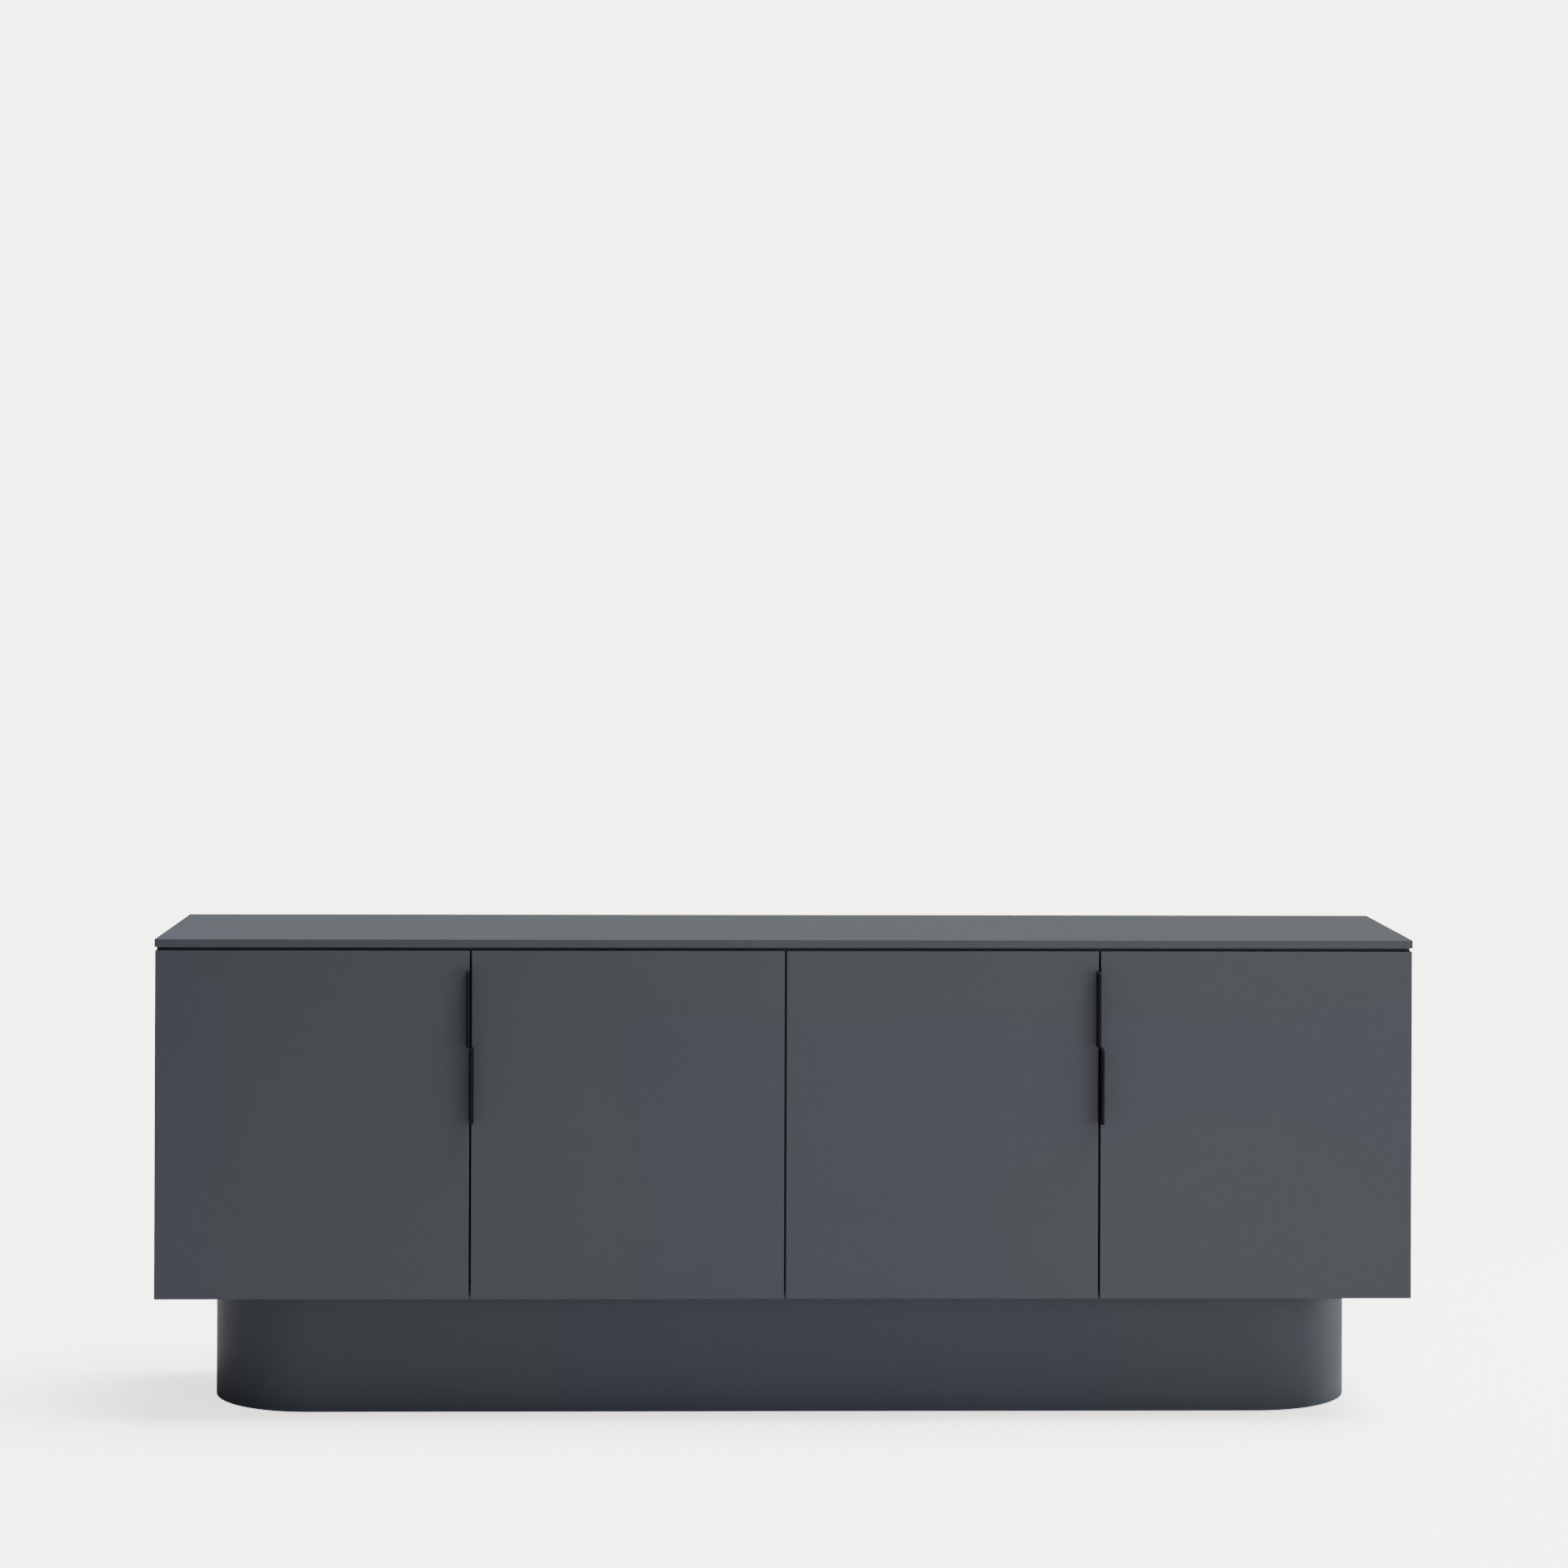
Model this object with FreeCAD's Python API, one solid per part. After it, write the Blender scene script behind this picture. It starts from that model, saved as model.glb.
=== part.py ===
import FreeCAD, Part
import math
import os

# Four-door sideboard on a long rounded plinth.  Millimetres, +Z up, +X to the viewer's right,
# the doors face -Y.  The origin is on the floor, in the middle of the overall box.

os.makedirs("parts", exist_ok=True)

# ---------------------------------------------------------------- driving dimensions
WIDTH = 2000.0
HEIGHT = 772.0
TOP_DEPTH = 420.0
BACK_Y = 223.0
FRONT_Y = BACK_Y - TOP_DEPTH
TOP_THICKNESS = 13.0
TOP_EDGE_ROUNDING = 0.8

BOARD = 18.0
BACK_BOARD = 6.0
TOP_OVERHANG = 1.0
CARCASS_BOTTOM = 200.0
CARCASS_TOP = HEIGHT - TOP_THICKNESS
CARCASS_HALF = WIDTH / 2 - TOP_OVERHANG
INNER_HALF = CARCASS_HALF - BOARD
FLOOR_OF_CARCASS = CARCASS_BOTTOM + BOARD

DOOR_THICKNESS = 19.0
DOOR_TO_CARCASS = 2.5
DOOR_GAP = 3.0
DOOR_BOTTOM = CARCASS_BOTTOM + 1.0
DOOR_TOP = CARCASS_TOP - 5.0
DOOR_EDGE_ROUNDING = 1.0
DOOR_BACK_Y = FRONT_Y + DOOR_THICKNESS
CARCASS_FRONT_Y = DOOR_BACK_Y + DOOR_TO_CARCASS
INNER_BACK_Y = BACK_Y - BACK_BOARD

RAIL_DEPTH = 80.0
SHELF_TOP = 498.0
SHELF_FRONT_Y = CARCASS_FRONT_Y + 25.0
SHELF_PLAY = 0.5

PLINTH_HALF = 930.0
PLINTH_FRONT_Y = FRONT_Y + 90.0
PLINTH_BACK_Y = BACK_Y - 2.0
PLINTH_SKIN = 9.0
PLINTH_FRAME_WIDTH = 70.0
GLIDE_HEIGHT = 2.5
GLIDE_RADIUS = 15.0

HANDLE_THICKNESS = 5.0
HANDLE_LENGTH = 119.0
HANDLE_REACH = 26.0
HANDLE_TAIL = 15.0
HANDLE_FROM_GAP_CENTRE = 0.3
HANDLE_ROUNDING = 2.2
UPPER_HANDLE_MID_Z = 663.0
LOWER_HANDLE_MID_Z = 541.0
HANDLE_SCREW_OFFSET = 40.0

HOLE_CLEARANCE = 0.06
BEARING_CLEARANCE = 0.05

# ---------------------------------------------------------------- hinge, in the door's own plane
# u runs from the door's hinge edge across the door, v runs into the cabinet from the door's back
# face, w runs up from the hinge's middle.
HINGE_HEIGHTS = (291.0, 664.0)
ARM_PIVOT = (29.0, 17.5)
CUP_PIVOT = (9.5, -9.0)
LINK_BENDS = ((20.3, -10.6), (24.2, -3.4))
LINK_THICKNESS = 2.5
LINK_HALF_WIDTH = 4.0
LINK_ARM_EYE = 3.4
LINK_CUP_EYE = 2.8
HINGE_PIN_RADIUS = 1.5
CUP_RADIUS = 17.5
CUP_WALL = 0.7
CUP_CENTRE_U = 22.5
CUP_DEPTH = 13.0
CUP_FLANGE = 1.2
CUP_SLOT_HALF = 6.0
CUP_SCREW_U = 28.5
CUP_SCREW_W = 24.0
EAR_U = (20.0, 37.0)
EAR_END_W = 31.0
LUG_W = (4.3, 6.3)
CHEEK_W = (4.3, 5.8)
PLATE_THICKNESS = 2.5
PLATE_V = (27.0, 67.0)
PLATE_HALF_WIDTH = 6.5
WING_V = (33.0, 46.0)
WING_HALF_WIDTH = 24.0
WING_SCREW_W = 16.0
ARM_BASE_HEIGHT = 13.0
ARM_WEB = 1.5
ARM_SCREW_V = 56.0

SHELF_PIN_RADIUS = 2.5
SHELF_PIN_LENGTH = 16.0
SHELF_PIN_DEPTH = 8.3
PIN_HOLE_RADIUS = 2.55
PIN_HOLE_DEPTH = 8.5
PIN_HOLE_PITCH = 32.0
PIN_HOLES_EACH_WAY = 3
PIN_COLUMN_Y = (CARCASS_FRONT_Y + 37.0, 150.0)
SHELF_PIN_Z = SHELF_TOP - BOARD - SHELF_PIN_RADIUS


class Door:
    """One door: the edge it hangs on, which way it extends and where its handle sits."""

    def __init__(self, name, hinge_x, side, width, inner_face_u, handle_mid_z):
        self.name = name
        self.hinge_x = hinge_x
        self.side = side
        self.width = width
        self.inner_face_u = inner_face_u
        self.handle_mid_z = handle_mid_z

    def x(self, u):
        return self.hinge_x + self.side * u


HALF_GAP = DOOR_GAP / 2
QUARTER_X = WIDTH / 4
OUTER_DOOR_WIDTH = CARCASS_HALF - QUARTER_X - HALF_GAP
INNER_DOOR_WIDTH = QUARTER_X - DOOR_GAP
PARTITION_FACE_U = BOARD / 2 - HALF_GAP
DOORS = (
    Door("door_1", -CARCASS_HALF, 1, OUTER_DOOR_WIDTH, BOARD, UPPER_HANDLE_MID_Z),
    Door("door_2", -HALF_GAP, -1, INNER_DOOR_WIDTH, PARTITION_FACE_U, LOWER_HANDLE_MID_Z),
    Door("door_3", HALF_GAP, 1, INNER_DOOR_WIDTH, PARTITION_FACE_U, UPPER_HANDLE_MID_Z),
    Door("door_4", CARCASS_HALF, -1, OUTER_DOOR_WIDTH, BOARD, LOWER_HANDLE_MID_Z),
)


# ---------------------------------------------------------------- small shape helpers
def vec(x, y, z):
    return FreeCAD.Vector(x, y, z)


def box(x_pair, y_pair, z_pair):
    x0, x1 = sorted(x_pair)
    y0, y1 = sorted(y_pair)
    z0, z1 = sorted(z_pair)
    return Part.makeBox(x1 - x0, y1 - y0, z1 - z0, vec(x0, y0, z0))


def cylinder(start, direction, radius, length):
    return Part.makeCylinder(radius, length, vec(*start), vec(*direction))


def cone(start, direction, radius_1, radius_2, length):
    return Part.makeCone(radius_1, radius_2, length, vec(*start), vec(*direction))


def along(start, direction, distance):
    return tuple(s + d * distance for s, d in zip(start, direction))


def fuse(shapes):
    joined = shapes[0].multiFuse(shapes[1:]) if len(shapes) > 1 else shapes[0]
    return joined.removeSplitter()


def cut(shape, tools):
    return shape.cut(Part.makeCompound(tools)) if tools else shape


def export(name, solids):
    shape = solids[0] if len(solids) == 1 else Part.makeCompound(solids)
    shape.exportStep(f"parts/{name}.step")


def countersunk_screw(start, direction, radius, length, grow=0.0):
    """A screw whose flat head ends at start and whose tip points along direction."""
    head_radius = 2 * radius + grow
    head_height = radius
    tip = 2 * radius
    shank_start = along(start, direction, head_height - 0.2)
    shank_length = length - head_height - tip + 0.2
    tip_start = along(shank_start, direction, shank_length)
    return fuse([
        cone(start, direction, head_radius, radius + grow, head_height),
        cylinder(shank_start, direction, radius + grow, shank_length),
        cone(tip_start, direction, radius + grow, 0.3 * radius + grow, tip + grow),
    ])


# ---------------------------------------------------------------- fasteners that hold the boards
class FastenerSet:
    """Solids of one kind of fastener, with the holes that they need in the boards."""

    def __init__(self):
        self.solids = []
        self.holes = []

    def add(self, make, *sizes):
        self.solids.append(make(*sizes))
        self.holes.append(make(*sizes, grow=HOLE_CLEARANCE))


def dowel(start, direction, grow=0.0):
    """An 8 mm dowel, 34 mm long, with chamfered ends, whose hole is a little longer."""
    radius = 4.0 + grow
    length = 34.0
    chamfer = 1.0
    if grow:
        return cylinder(along(start, direction, -0.5), direction, radius, length + 1.0)
    return fuse([
        cone(start, direction, radius - chamfer, radius, chamfer),
        cylinder(along(start, direction, chamfer), direction, radius, length - 2 * chamfer),
        cone(along(start, direction, length - chamfer), direction, radius, radius - chamfer, chamfer),
    ])


def cam_bolt(start, direction, grow=0.0):
    """A bolt that screws 10 mm into a board's face and ends in a ball head for the cam."""
    thread_length = 10.0
    shank_length = 21.0
    shank = cylinder(along(start, direction, thread_length), direction, 3.0 + grow, shank_length)
    thread = cylinder(start, direction, 2.5 + grow, thread_length)
    collar = cylinder(along(start, direction, thread_length), direction, 3.6 + grow, 1.2)
    pieces = [thread, shank, collar]
    if grow:
        pieces.append(cylinder(along(start, direction, thread_length), direction, 3.6 + grow, 24.0))
    return fuse(pieces)


CAM_RADIUS = 7.5
CAM_HEIGHT = 12.5
CAM_DISTANCE = 34.0


def cam_lock(centre, direction, grow=0.0):
    """A round cam let into a board's face, slotted across its outer end."""
    body = cylinder(centre, direction, CAM_RADIUS + grow, CAM_HEIGHT + grow)
    if grow:
        return body
    return body.cut(cylinder(centre, direction, 2.4, 2.0))


FACE_JOINT_DEPTH = 11.0
RAIL_JOINT_Y = (CARCASS_FRONT_Y + 22.0, INNER_BACK_Y - 22.0)
RAIL_CAM_Y = (CARCASS_FRONT_Y + 56.0, INNER_BACK_Y - 56.0)
PANEL_DOWEL_Y = (-110.0, 175.0)
PANEL_CAM_Y = (-60.0, 125.0)


def board_joint(dowels, bolts, cams, face_x, side, mid_z, dowel_y, cam_y, cam_z, cam_direction):
    """Dowels and cams that join a level board's end, at face_x, to an upright board."""
    inward = (side, 0, 0)
    for y in dowel_y:
        dowels.add(dowel, (face_x - side * FACE_JOINT_DEPTH, y, mid_z), inward)
    for y in cam_y:
        bolts.add(cam_bolt, (face_x - side * (FACE_JOINT_DEPTH - 1), y, mid_z), inward)
        cams.add(cam_lock, (face_x + side * CAM_DISTANCE, y, cam_z), cam_direction)


def make_joinery():
    dowels, bolts, cams = FastenerSet(), FastenerSet(), FastenerSet()
    floor_mid_z = CARCASS_BOTTOM + BOARD / 2
    rail_mid_z = CARCASS_TOP - BOARD / 2
    for side in (-1, 1):
        outer_face = side * INNER_HALF
        board_joint(dowels, bolts, cams, outer_face, -side, floor_mid_z, PANEL_DOWEL_Y,
                    PANEL_CAM_Y, CARCASS_BOTTOM, (0, 0, 1))
        board_joint(dowels, bolts, cams, outer_face, -side, rail_mid_z, RAIL_JOINT_Y,
                    RAIL_CAM_Y, CARCASS_TOP - BOARD, (0, 0, 1))
    for y in PANEL_DOWEL_Y:
        dowels.add(dowel, (0, y, FLOOR_OF_CARCASS - FACE_JOINT_DEPTH), (0, 0, 1))
    return dowels, bolts, cams


# ---------------------------------------------------------------- hinge pieces
def hinge_prism(door, outline, w_pair, mid_z):
    """A closed outline of (u, v) points, made into a prism between two heights."""
    points = [vec(door.x(u), DOOR_BACK_Y + v, mid_z + w_pair[0]) for u, v in outline]
    face = Part.Face(Part.makePolygon(points + points[:1]))
    return face.extrude(vec(0, 0, w_pair[1] - w_pair[0]))


def hinge_round(door, centre, radius, w_pair, mid_z):
    start = (door.x(centre[0]), DOOR_BACK_Y + centre[1], mid_z + w_pair[0])
    return cylinder(start, (0, 0, 1), radius, w_pair[1] - w_pair[0])


def bar_between(door, start, end, thickness, w_pair, mid_z):
    run_u, run_v = end[0] - start[0], end[1] - start[1]
    length = math.hypot(run_u, run_v)
    across_u, across_v = -run_v / length * thickness / 2, run_u / length * thickness / 2
    outline = [
        (start[0] + across_u, start[1] + across_v),
        (end[0] + across_u, end[1] + across_v),
        (end[0] - across_u, end[1] - across_v),
        (start[0] - across_u, start[1] - across_v),
    ]
    return hinge_prism(door, outline, w_pair, mid_z)


def both_sides(w_pair):
    return (w_pair, (-w_pair[1], -w_pair[0]))


def hinge_link(door, mid_z):
    """The curved link that reaches round the door's edge into the cup."""
    width = (-LINK_HALF_WIDTH, LINK_HALF_WIDTH)
    stops = [CUP_PIVOT, *LINK_BENDS, ARM_PIVOT]
    pieces = [hinge_round(door, CUP_PIVOT, LINK_CUP_EYE, width, mid_z),
              hinge_round(door, ARM_PIVOT, LINK_ARM_EYE, width, mid_z)]
    for start, end in zip(stops, stops[1:]):
        pieces.append(bar_between(door, start, end, LINK_THICKNESS, width, mid_z))
    for bend in LINK_BENDS:
        pieces.append(hinge_round(door, bend, LINK_THICKNESS / 2, width, mid_z))
    bore = HINGE_PIN_RADIUS + BEARING_CLEARANCE
    holes = [hinge_round(door, pivot, bore, width, mid_z) for pivot in (CUP_PIVOT, ARM_PIVOT)]
    return cut(fuse(pieces), holes)


def hinge_pin(door, pivot, half_length, head_radius, mid_z):
    """A plain pin with a thin rivet head outside each end."""
    head = 0.8
    pieces = [hinge_round(door, pivot, HINGE_PIN_RADIUS, (-half_length, half_length), mid_z)]
    if head_radius:
        for w_pair in both_sides((half_length, half_length + head)):
            pieces.append(hinge_round(door, pivot, head_radius, w_pair, mid_z))
    return fuse(pieces)


def cup_screw_starts(door, mid_z):
    y = DOOR_BACK_Y + CUP_FLANGE
    return [(door.x(CUP_SCREW_U), y, mid_z + w) for w in (-CUP_SCREW_W, CUP_SCREW_W)]


def hinge_cup(door, mid_z):
    """A round cup with two screw ears and two lugs that carry the cup pin."""
    axis = (0, 1, 0)
    base = (door.x(CUP_CENTRE_U), DOOR_BACK_Y - CUP_DEPTH, mid_z)
    pocket_start = along(base, axis, CUP_WALL)
    outer = cylinder(base, axis, CUP_RADIUS, CUP_DEPTH + CUP_FLANGE)
    pocket = cylinder(pocket_start, axis, CUP_RADIUS - CUP_WALL, CUP_DEPTH + 5)
    u_pair = (door.x(EAR_U[0]), door.x(EAR_U[1]))
    flange_y = (DOOR_BACK_Y, DOOR_BACK_Y + CUP_FLANGE)
    ears = box(u_pair, flange_y, (mid_z - EAR_END_W, mid_z + EAR_END_W))
    slot_x = (door.x(CUP_CENTRE_U - CUP_RADIUS - 5), door.x(CUP_CENTRE_U + CUP_RADIUS + 5))
    slot = box(slot_x, (flange_y[0], flange_y[1] + 1), (mid_z - CUP_SLOT_HALF, mid_z + CUP_SLOT_HALF))
    shell = cut(fuse([outer, ears]), [pocket, slot])
    lugs = []
    lug_floor = CUP_WALL - CUP_DEPTH - 0.2
    for w_pair in both_sides(LUG_W):
        outline = [(CUP_PIVOT[0] - 2.4, lug_floor), (CUP_PIVOT[0] + 2.4, lug_floor),
                   (CUP_PIVOT[0] + 2.4, CUP_PIVOT[1]), (CUP_PIVOT[0] - 2.4, CUP_PIVOT[1])]
        lugs.append(hinge_prism(door, outline, w_pair, mid_z))
        lugs.append(hinge_round(door, CUP_PIVOT, 2.4, w_pair, mid_z))
    inside = cylinder(base, axis, CUP_RADIUS - CUP_WALL / 2, CUP_DEPTH)
    cup = fuse([shell, *Part.makeCompound(lugs).common(inside).Solids])
    pin_hole = hinge_round(door, CUP_PIVOT, HINGE_PIN_RADIUS, (-LUG_W[1] - 1, LUG_W[1] + 1), mid_z)
    screw_holes = [countersunk_screw(start, (0, -1, 0), 1.75, 15, grow=HOLE_CLEARANCE)
                   for start in cup_screw_starts(door, mid_z)]
    return cut(cup, [pin_hole, *screw_holes])


def arm_outline(door):
    """The arm's cheek seen from above: a foot on the plate and a neck up to the pivot."""
    foot = door.inner_face_u + PLATE_THICKNESS + 0.5
    top = door.inner_face_u + ARM_BASE_HEIGHT
    if top >= ARM_PIVOT[0]:
        neck = [(ARM_PIVOT[0] - 3.6, ARM_PIVOT[1] + 1), (ARM_PIVOT[0] + 3.6, ARM_PIVOT[1] + 1)]
        return [*neck, (top, PLATE_V[0]), (top, PLATE_V[1]), (foot, PLATE_V[1]), (foot, PLATE_V[0])]
    neck = [(ARM_PIVOT[0] - 2.5, ARM_PIVOT[1] - 2.6), (ARM_PIVOT[0] + 2.5, ARM_PIVOT[1] + 2.6)]
    return [*neck, (top, PLATE_V[0] + 4), (top, PLATE_V[1]), (foot, PLATE_V[1]), (foot, PLATE_V[0] + 2)]


def hinge_arm(door, mid_z):
    """A channel that clips over the plate's rib and carries the link between its cheeks."""
    top = door.inner_face_u + ARM_BASE_HEIGHT
    pieces = []
    for w_pair in both_sides(CHEEK_W):
        pieces.append(hinge_prism(door, arm_outline(door), w_pair, mid_z))
        pieces.append(hinge_round(door, ARM_PIVOT, 3.6, w_pair, mid_z))
    web_start = PLATE_V[0] + 4
    web = [(top - ARM_WEB, web_start), (top, web_start), (top, PLATE_V[1]), (top - ARM_WEB, PLATE_V[1])]
    pieces.append(hinge_prism(door, web, (-CHEEK_W[1], CHEEK_W[1]), mid_z))
    pin_hole = hinge_round(door, ARM_PIVOT, HINGE_PIN_RADIUS, (-CHEEK_W[1], CHEEK_W[1]), mid_z)
    screw_hole = cylinder(
        (door.x(top + 1), DOOR_BACK_Y + ARM_SCREW_V, mid_z), (-door.side, 0, 0), 2.1, 4)
    return cut(fuse(pieces), [pin_hole, screw_hole])


def hinge_plate(door, mid_z):
    """The plate on the cabinet's upright: a base, two wings for screws and a rib for the arm."""
    base_u = (door.inner_face_u, door.inner_face_u + PLATE_THICKNESS)
    rib_u = (base_u[0], door.inner_face_u + ARM_BASE_HEIGHT - ARM_WEB - 0.2)
    x_base = [door.x(u) for u in base_u]
    x_rib = [door.x(u) for u in rib_u]
    y_plate = [DOOR_BACK_Y + v for v in PLATE_V]
    y_wing = [DOOR_BACK_Y + v for v in WING_V]
    y_rib = (y_plate[0] + 6, y_plate[1] - 2)
    plate = fuse([
        box(x_base, y_plate, (mid_z - PLATE_HALF_WIDTH, mid_z + PLATE_HALF_WIDTH)),
        box(x_base, y_wing, (mid_z - WING_HALF_WIDTH, mid_z + WING_HALF_WIDTH)),
        box(x_rib, y_rib, (mid_z - LINK_HALF_WIDTH, mid_z + LINK_HALF_WIDTH)),
    ])
    holes = [countersunk_screw(start, (-door.side, 0, 0), 2.5, 15, grow=HOLE_CLEARANCE)
             for start in plate_screw_starts(door, mid_z)]
    holes.append(cylinder((x_rib[1] + door.side, DOOR_BACK_Y + ARM_SCREW_V, mid_z),
                          (-door.side, 0, 0), 2.05, 8.5))
    return cut(plate, holes)


def plate_screw_starts(door, mid_z):
    x = door.x(door.inner_face_u + PLATE_THICKNESS)
    y = DOOR_BACK_Y + (WING_V[0] + WING_V[1]) / 2
    return [(x, y, mid_z + w) for w in (-WING_SCREW_W, WING_SCREW_W)]


def arm_screw(door, mid_z):
    """The short machine screw that clamps the arm to its plate."""
    inward = (-door.side, 0, 0)
    seat = (door.x(door.inner_face_u + ARM_BASE_HEIGHT), DOOR_BACK_Y + ARM_SCREW_V, mid_z)
    head = cylinder(along(seat, inward, -2.0), inward, 3.4, 2.0)
    recess = cylinder(along(seat, inward, -2.0), inward, 1.2, 1.2)
    return fuse([head.cut(recess), cylinder(seat, inward, 2.0, 8.0)])


# ---------------------------------------------------------------- doors
def handle_x(door):
    """The x span of the handle's plate, measured from the middle of the gap it stands in."""
    free_edge = door.x(door.width)
    gap_centre = free_edge + door.side * HALF_GAP
    near = gap_centre - door.side * HANDLE_FROM_GAP_CENTRE
    return near, near - door.side * HANDLE_THICKNESS


def handle(door):
    """A flat bar let into the door's free edge, standing out in front as a grip."""
    near, far = handle_x(door)
    y_nose = FRONT_Y - HANDLE_REACH
    y_tail = FRONT_Y + HANDLE_TAIL
    z_low = door.handle_mid_z - HANDLE_LENGTH / 2
    bar = box((near, far), (y_nose, y_tail), (z_low, z_low + HANDLE_LENGTH))
    nose_edges = [e for e in bar.Edges if all(abs(v.Y - y_nose) < 1e-6 for v in e.Vertexes)]
    bar = bar.makeFillet(HANDLE_ROUNDING, nose_edges)
    screws = [countersunk_screw(start, direction, 1.9, 24, grow=HOLE_CLEARANCE)
              for start, direction in handle_screw_places(door)]
    return cut(bar, screws)


def handle_screw_places(door):
    near, _ = handle_x(door)
    y = FRONT_Y + HANDLE_TAIL / 2
    heights = (door.handle_mid_z - HANDLE_SCREW_OFFSET, door.handle_mid_z + HANDLE_SCREW_OFFSET)
    return [((near, y, z), (-door.side, 0, 0)) for z in heights]


def door_panel(door):
    """A board with softened edges, cut for its cups, its handle and their screws."""
    x_pair = (door.x(0), door.x(door.width))
    panel = box(x_pair, (FRONT_Y, DOOR_BACK_Y), (DOOR_BOTTOM, DOOR_TOP))
    panel = panel.makeFillet(DOOR_EDGE_ROUNDING, panel.Edges)
    tools = []
    for mid_z in HINGE_HEIGHTS:
        base = (door.x(CUP_CENTRE_U), DOOR_BACK_Y - CUP_DEPTH - HOLE_CLEARANCE, mid_z)
        tools.append(cylinder(base, (0, 1, 0), CUP_RADIUS + HOLE_CLEARANCE, CUP_DEPTH + 5))
        for start in cup_screw_starts(door, mid_z):
            tools.append(countersunk_screw(start, (0, -1, 0), 1.75, 15, grow=HOLE_CLEARANCE))
    _, far = handle_x(door)
    z_low = door.handle_mid_z - HANDLE_LENGTH / 2 - HOLE_CLEARANCE
    z_high = z_low + HANDLE_LENGTH + 2 * HOLE_CLEARANCE
    tools.append(box((far - door.side * HOLE_CLEARANCE, door.x(door.width + 5)),
                     (FRONT_Y - 1, FRONT_Y + HANDLE_TAIL + HOLE_CLEARANCE), (z_low, z_high)))
    for start, direction in handle_screw_places(door):
        tools.append(countersunk_screw(start, direction, 1.9, 24, grow=HOLE_CLEARANCE))
    return cut(panel, tools)


def export_door(door):
    export(f"{door.name}_panel", [door_panel(door)])
    export(f"{door.name}_handle", [handle(door)])
    export(f"{door.name}_handle_screws", [
        countersunk_screw(start, direction, 1.9, 24) for start, direction in handle_screw_places(door)])
    export(f"{door.name}_hinge_cups", [hinge_cup(door, z) for z in HINGE_HEIGHTS])
    export(f"{door.name}_cup_pins", [
        hinge_pin(door, CUP_PIVOT, LUG_W[1], 0, z) for z in HINGE_HEIGHTS])
    export(f"{door.name}_cup_screws", [
        countersunk_screw(start, (0, -1, 0), 1.75, 15)
        for z in HINGE_HEIGHTS for start in cup_screw_starts(door, z)])
    export(f"{door.name}_hinge_links", [hinge_link(door, z) for z in HINGE_HEIGHTS])


# ---------------------------------------------------------------- carcass
def shelf_pin_places():
    """Where each shelf pin enters its upright: face x, the way out of the face, and y."""
    faces = ((-INNER_HALF, 1), (-BOARD / 2, -1), (BOARD / 2, 1), (INNER_HALF, -1))
    return [(x, side, y) for x, side in faces for y in PIN_COLUMN_Y]


def shelf_pins():
    pins = []
    for x, side, y in shelf_pin_places():
        start = (x - side * SHELF_PIN_DEPTH, y, SHELF_PIN_Z)
        shank = cylinder(start, (side, 0, 0), SHELF_PIN_RADIUS, SHELF_PIN_LENGTH)
        collar = cylinder((x, y, SHELF_PIN_Z - 1.0), (side, 0, 0), 3.4, 1.0)
        pins.append(fuse([shank, collar.common(box((x, x + side), (y - 5, y + 5),
                                                   (SHELF_PIN_Z - 5, SHELF_PIN_Z + 2.4)))]))
    return pins


def pin_holes():
    holes = []
    for x, side, y in shelf_pin_places():
        for step in range(-PIN_HOLES_EACH_WAY, PIN_HOLES_EACH_WAY + 1):
            start = (x - side * PIN_HOLE_DEPTH, y, SHELF_PIN_Z + step * PIN_HOLE_PITCH)
            holes.append(cylinder(start, (side, 0, 0), PIN_HOLE_RADIUS, PIN_HOLE_DEPTH + 1))
    return holes


def back_screw_places():
    """Screws round the edge of the back board and up the middle partition."""
    side_x = (-CARCASS_HALF + 13.5, CARCASS_HALF - 13.5)
    upright_z = (290.0, 480.0, 670.0)
    level_x = (-740.0, -500.0, -260.0, 260.0, 500.0, 740.0)
    places = [(x, z) for x in (*side_x, 0.0) for z in upright_z]
    places += [(x, z) for x in level_x for z in (CARCASS_BOTTOM + BOARD / 2, CARCASS_TOP - BOARD / 2)]
    return [(x, BACK_Y, z) for x, z in places]


def rails():
    """The two front rails, then the two rear rails, under the top panel."""
    z_pair = (CARCASS_TOP - BOARD, CARCASS_TOP)
    front_y = (CARCASS_FRONT_Y, CARCASS_FRONT_Y + RAIL_DEPTH)
    rear_y = (INNER_BACK_Y - RAIL_DEPTH, INNER_BACK_Y)
    x_pairs = ((-INNER_HALF, -BOARD / 2), (BOARD / 2, INNER_HALF))
    return [[box(x_pair, y_pair, z_pair) for x_pair in x_pairs] for y_pair in (front_y, rear_y)]


def top_screw_starts():
    y_pair = (CARCASS_FRONT_Y + RAIL_DEPTH / 2, INNER_BACK_Y - RAIL_DEPTH / 2)
    return [(x, y, CARCASS_TOP - BOARD) for x in (-880.0, -500.0, -120.0, 120.0, 500.0, 880.0) for y in y_pair]


def plinth_screw_starts():
    return [(x, y, FLOOR_OF_CARCASS) for x in (-700.0, -240.0, 240.0, 700.0) for y in (-72.0, 186.0)]


def bumper_places():
    """Small pads on the carcass's front edges, near each door's free side."""
    heights = (CARCASS_TOP - BOARD / 2, CARCASS_BOTTOM + BOARD / 2)
    return [(door.x(door.width - 20.0), z) for door in DOORS for z in heights]


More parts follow.
